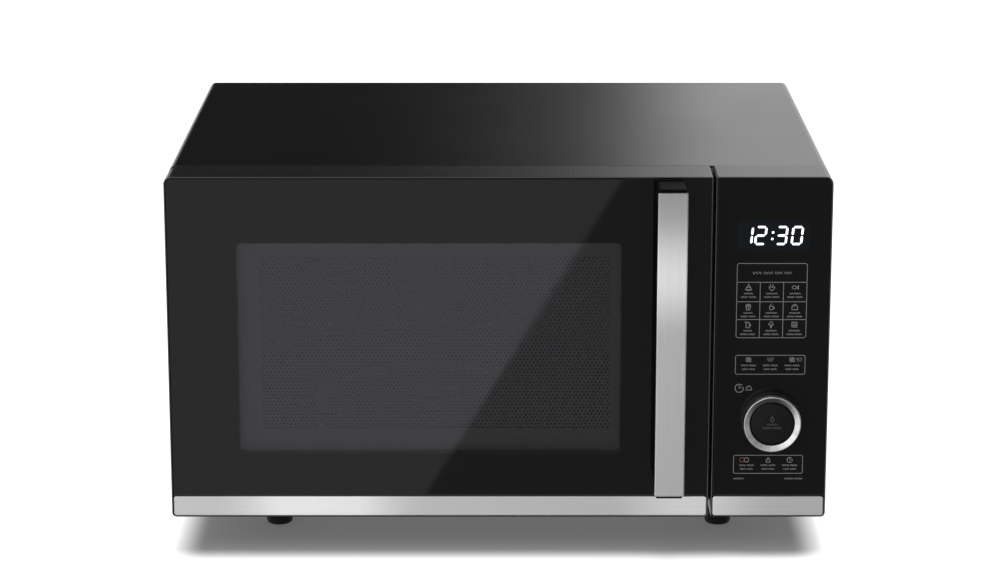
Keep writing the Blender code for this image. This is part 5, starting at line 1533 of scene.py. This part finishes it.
class OVEN_OT_trim(OvenOperator, bpy.types.Operator):
    """Bottom strips and handle"""
    bl_idname = "oven.trim"
    bl_label = "Strips and handle"

    def execute(self, context):
        add_strips(context.scene.oven_door)
        add_handle(context.scene.oven_door)
        return {"FINISHED"}


class OVEN_OT_panel(OvenOperator, bpy.types.Operator):
    """Control panel moulding and glass"""
    bl_idname = "oven.panel"
    bl_label = "Control panel"

    def execute(self, context):
        add_panel(context.scene.oven_panel)
        return {"FINISHED"}


class OVEN_OT_print(OvenOperator, bpy.types.Operator):
    """Printed key frames and pictograms, and the lit time"""
    bl_idname = "oven.print"
    bl_label = "Print and clock"

    def execute(self, context):
        add_print(context.scene.oven_panel)
        add_clock(context.scene.oven_panel)
        return {"FINISHED"}


class OVEN_OT_selector(OvenOperator, bpy.types.Operator):
    """Selector ring and start key"""
    bl_idname = "oven.selector"
    bl_label = "Selector"

    def execute(self, context):
        add_knob(context.scene.oven_panel)
        return {"FINISHED"}


class OVEN_OT_turntable(OvenOperator, bpy.types.Operator):
    """Glass tray, roller ring and coupler"""
    bl_idname = "oven.turntable"
    bl_label = "Turntable"

    def execute(self, context):
        add_turntable(context.scene.oven_cabinet)
        return {"FINISHED"}


class OVEN_OT_works(OvenOperator, bpy.types.Operator):
    """Finishes of the works inside the cabinet"""
    bl_idname = "oven.works"
    bl_label = "Inner works"

    def execute(self, context):
        add_works(context.scene.oven_cabinet)
        return {"FINISHED"}


class OVEN_OT_stage(OvenOperator, bpy.types.Operator):
    """Floor, lights and camera"""
    bl_idname = "oven.stage"
    bl_label = "Stage"

    def execute(self, context):
        add_stage(context.scene.oven_stage)
        return {"FINISHED"}


STEPS = (OVEN_OT_cabinet, OVEN_OT_cavity, OVEN_OT_door, OVEN_OT_trim, OVEN_OT_panel, OVEN_OT_print,
         OVEN_OT_selector, OVEN_OT_turntable, OVEN_OT_works, OVEN_OT_stage)
LOOKS = {"oven_cabinet": OvenCabinetLook, "oven_door": OvenDoorLook, "oven_panel": OvenPanelLook,
         "oven_stage": OvenStageLook}


class OVEN_PT_panel(bpy.types.Panel):
    """Steps that build the oven, and the settings they read"""
    bl_label = "Microwave Oven"
    bl_idname = "OVEN_PT_panel"
    bl_space_type = "VIEW_3D"
    bl_region_type = "UI"
    bl_category = "Oven"

    def draw(self, context):
        column = self.layout.column(align=True)
        for step in STEPS:
            column.operator(step.bl_idname)
        for group, look in LOOKS.items():
            box = self.layout.box()
            box.label(text=look.__doc__)
            for setting in look.__annotations__:
                box.prop(getattr(context.scene, group), setting)


def register():
    for made in (*LOOKS.values(), *STEPS, OVEN_PT_panel):
        bpy.utils.register_class(made)
    for group, look in LOOKS.items():
        setattr(bpy.types.Scene, group, PointerProperty(type=look))


def unregister():
    for group in LOOKS:
        delattr(bpy.types.Scene, group)
    for made in reversed((*LOOKS.values(), *STEPS, OVEN_PT_panel)):
        bpy.utils.unregister_class(made)


def main():
    """Builds the whole oven and its stage."""
    register()
    bpy.ops.oven.cabinet()
    bpy.ops.oven.cavity()
    bpy.ops.oven.door()
    bpy.ops.oven.trim()
    bpy.ops.oven.panel()
    bpy.ops.oven.print()
    bpy.ops.oven.selector()
    bpy.ops.oven.turntable()
    bpy.ops.oven.works()
    bpy.ops.oven.stage()


if __name__ == "__main__":
    main()
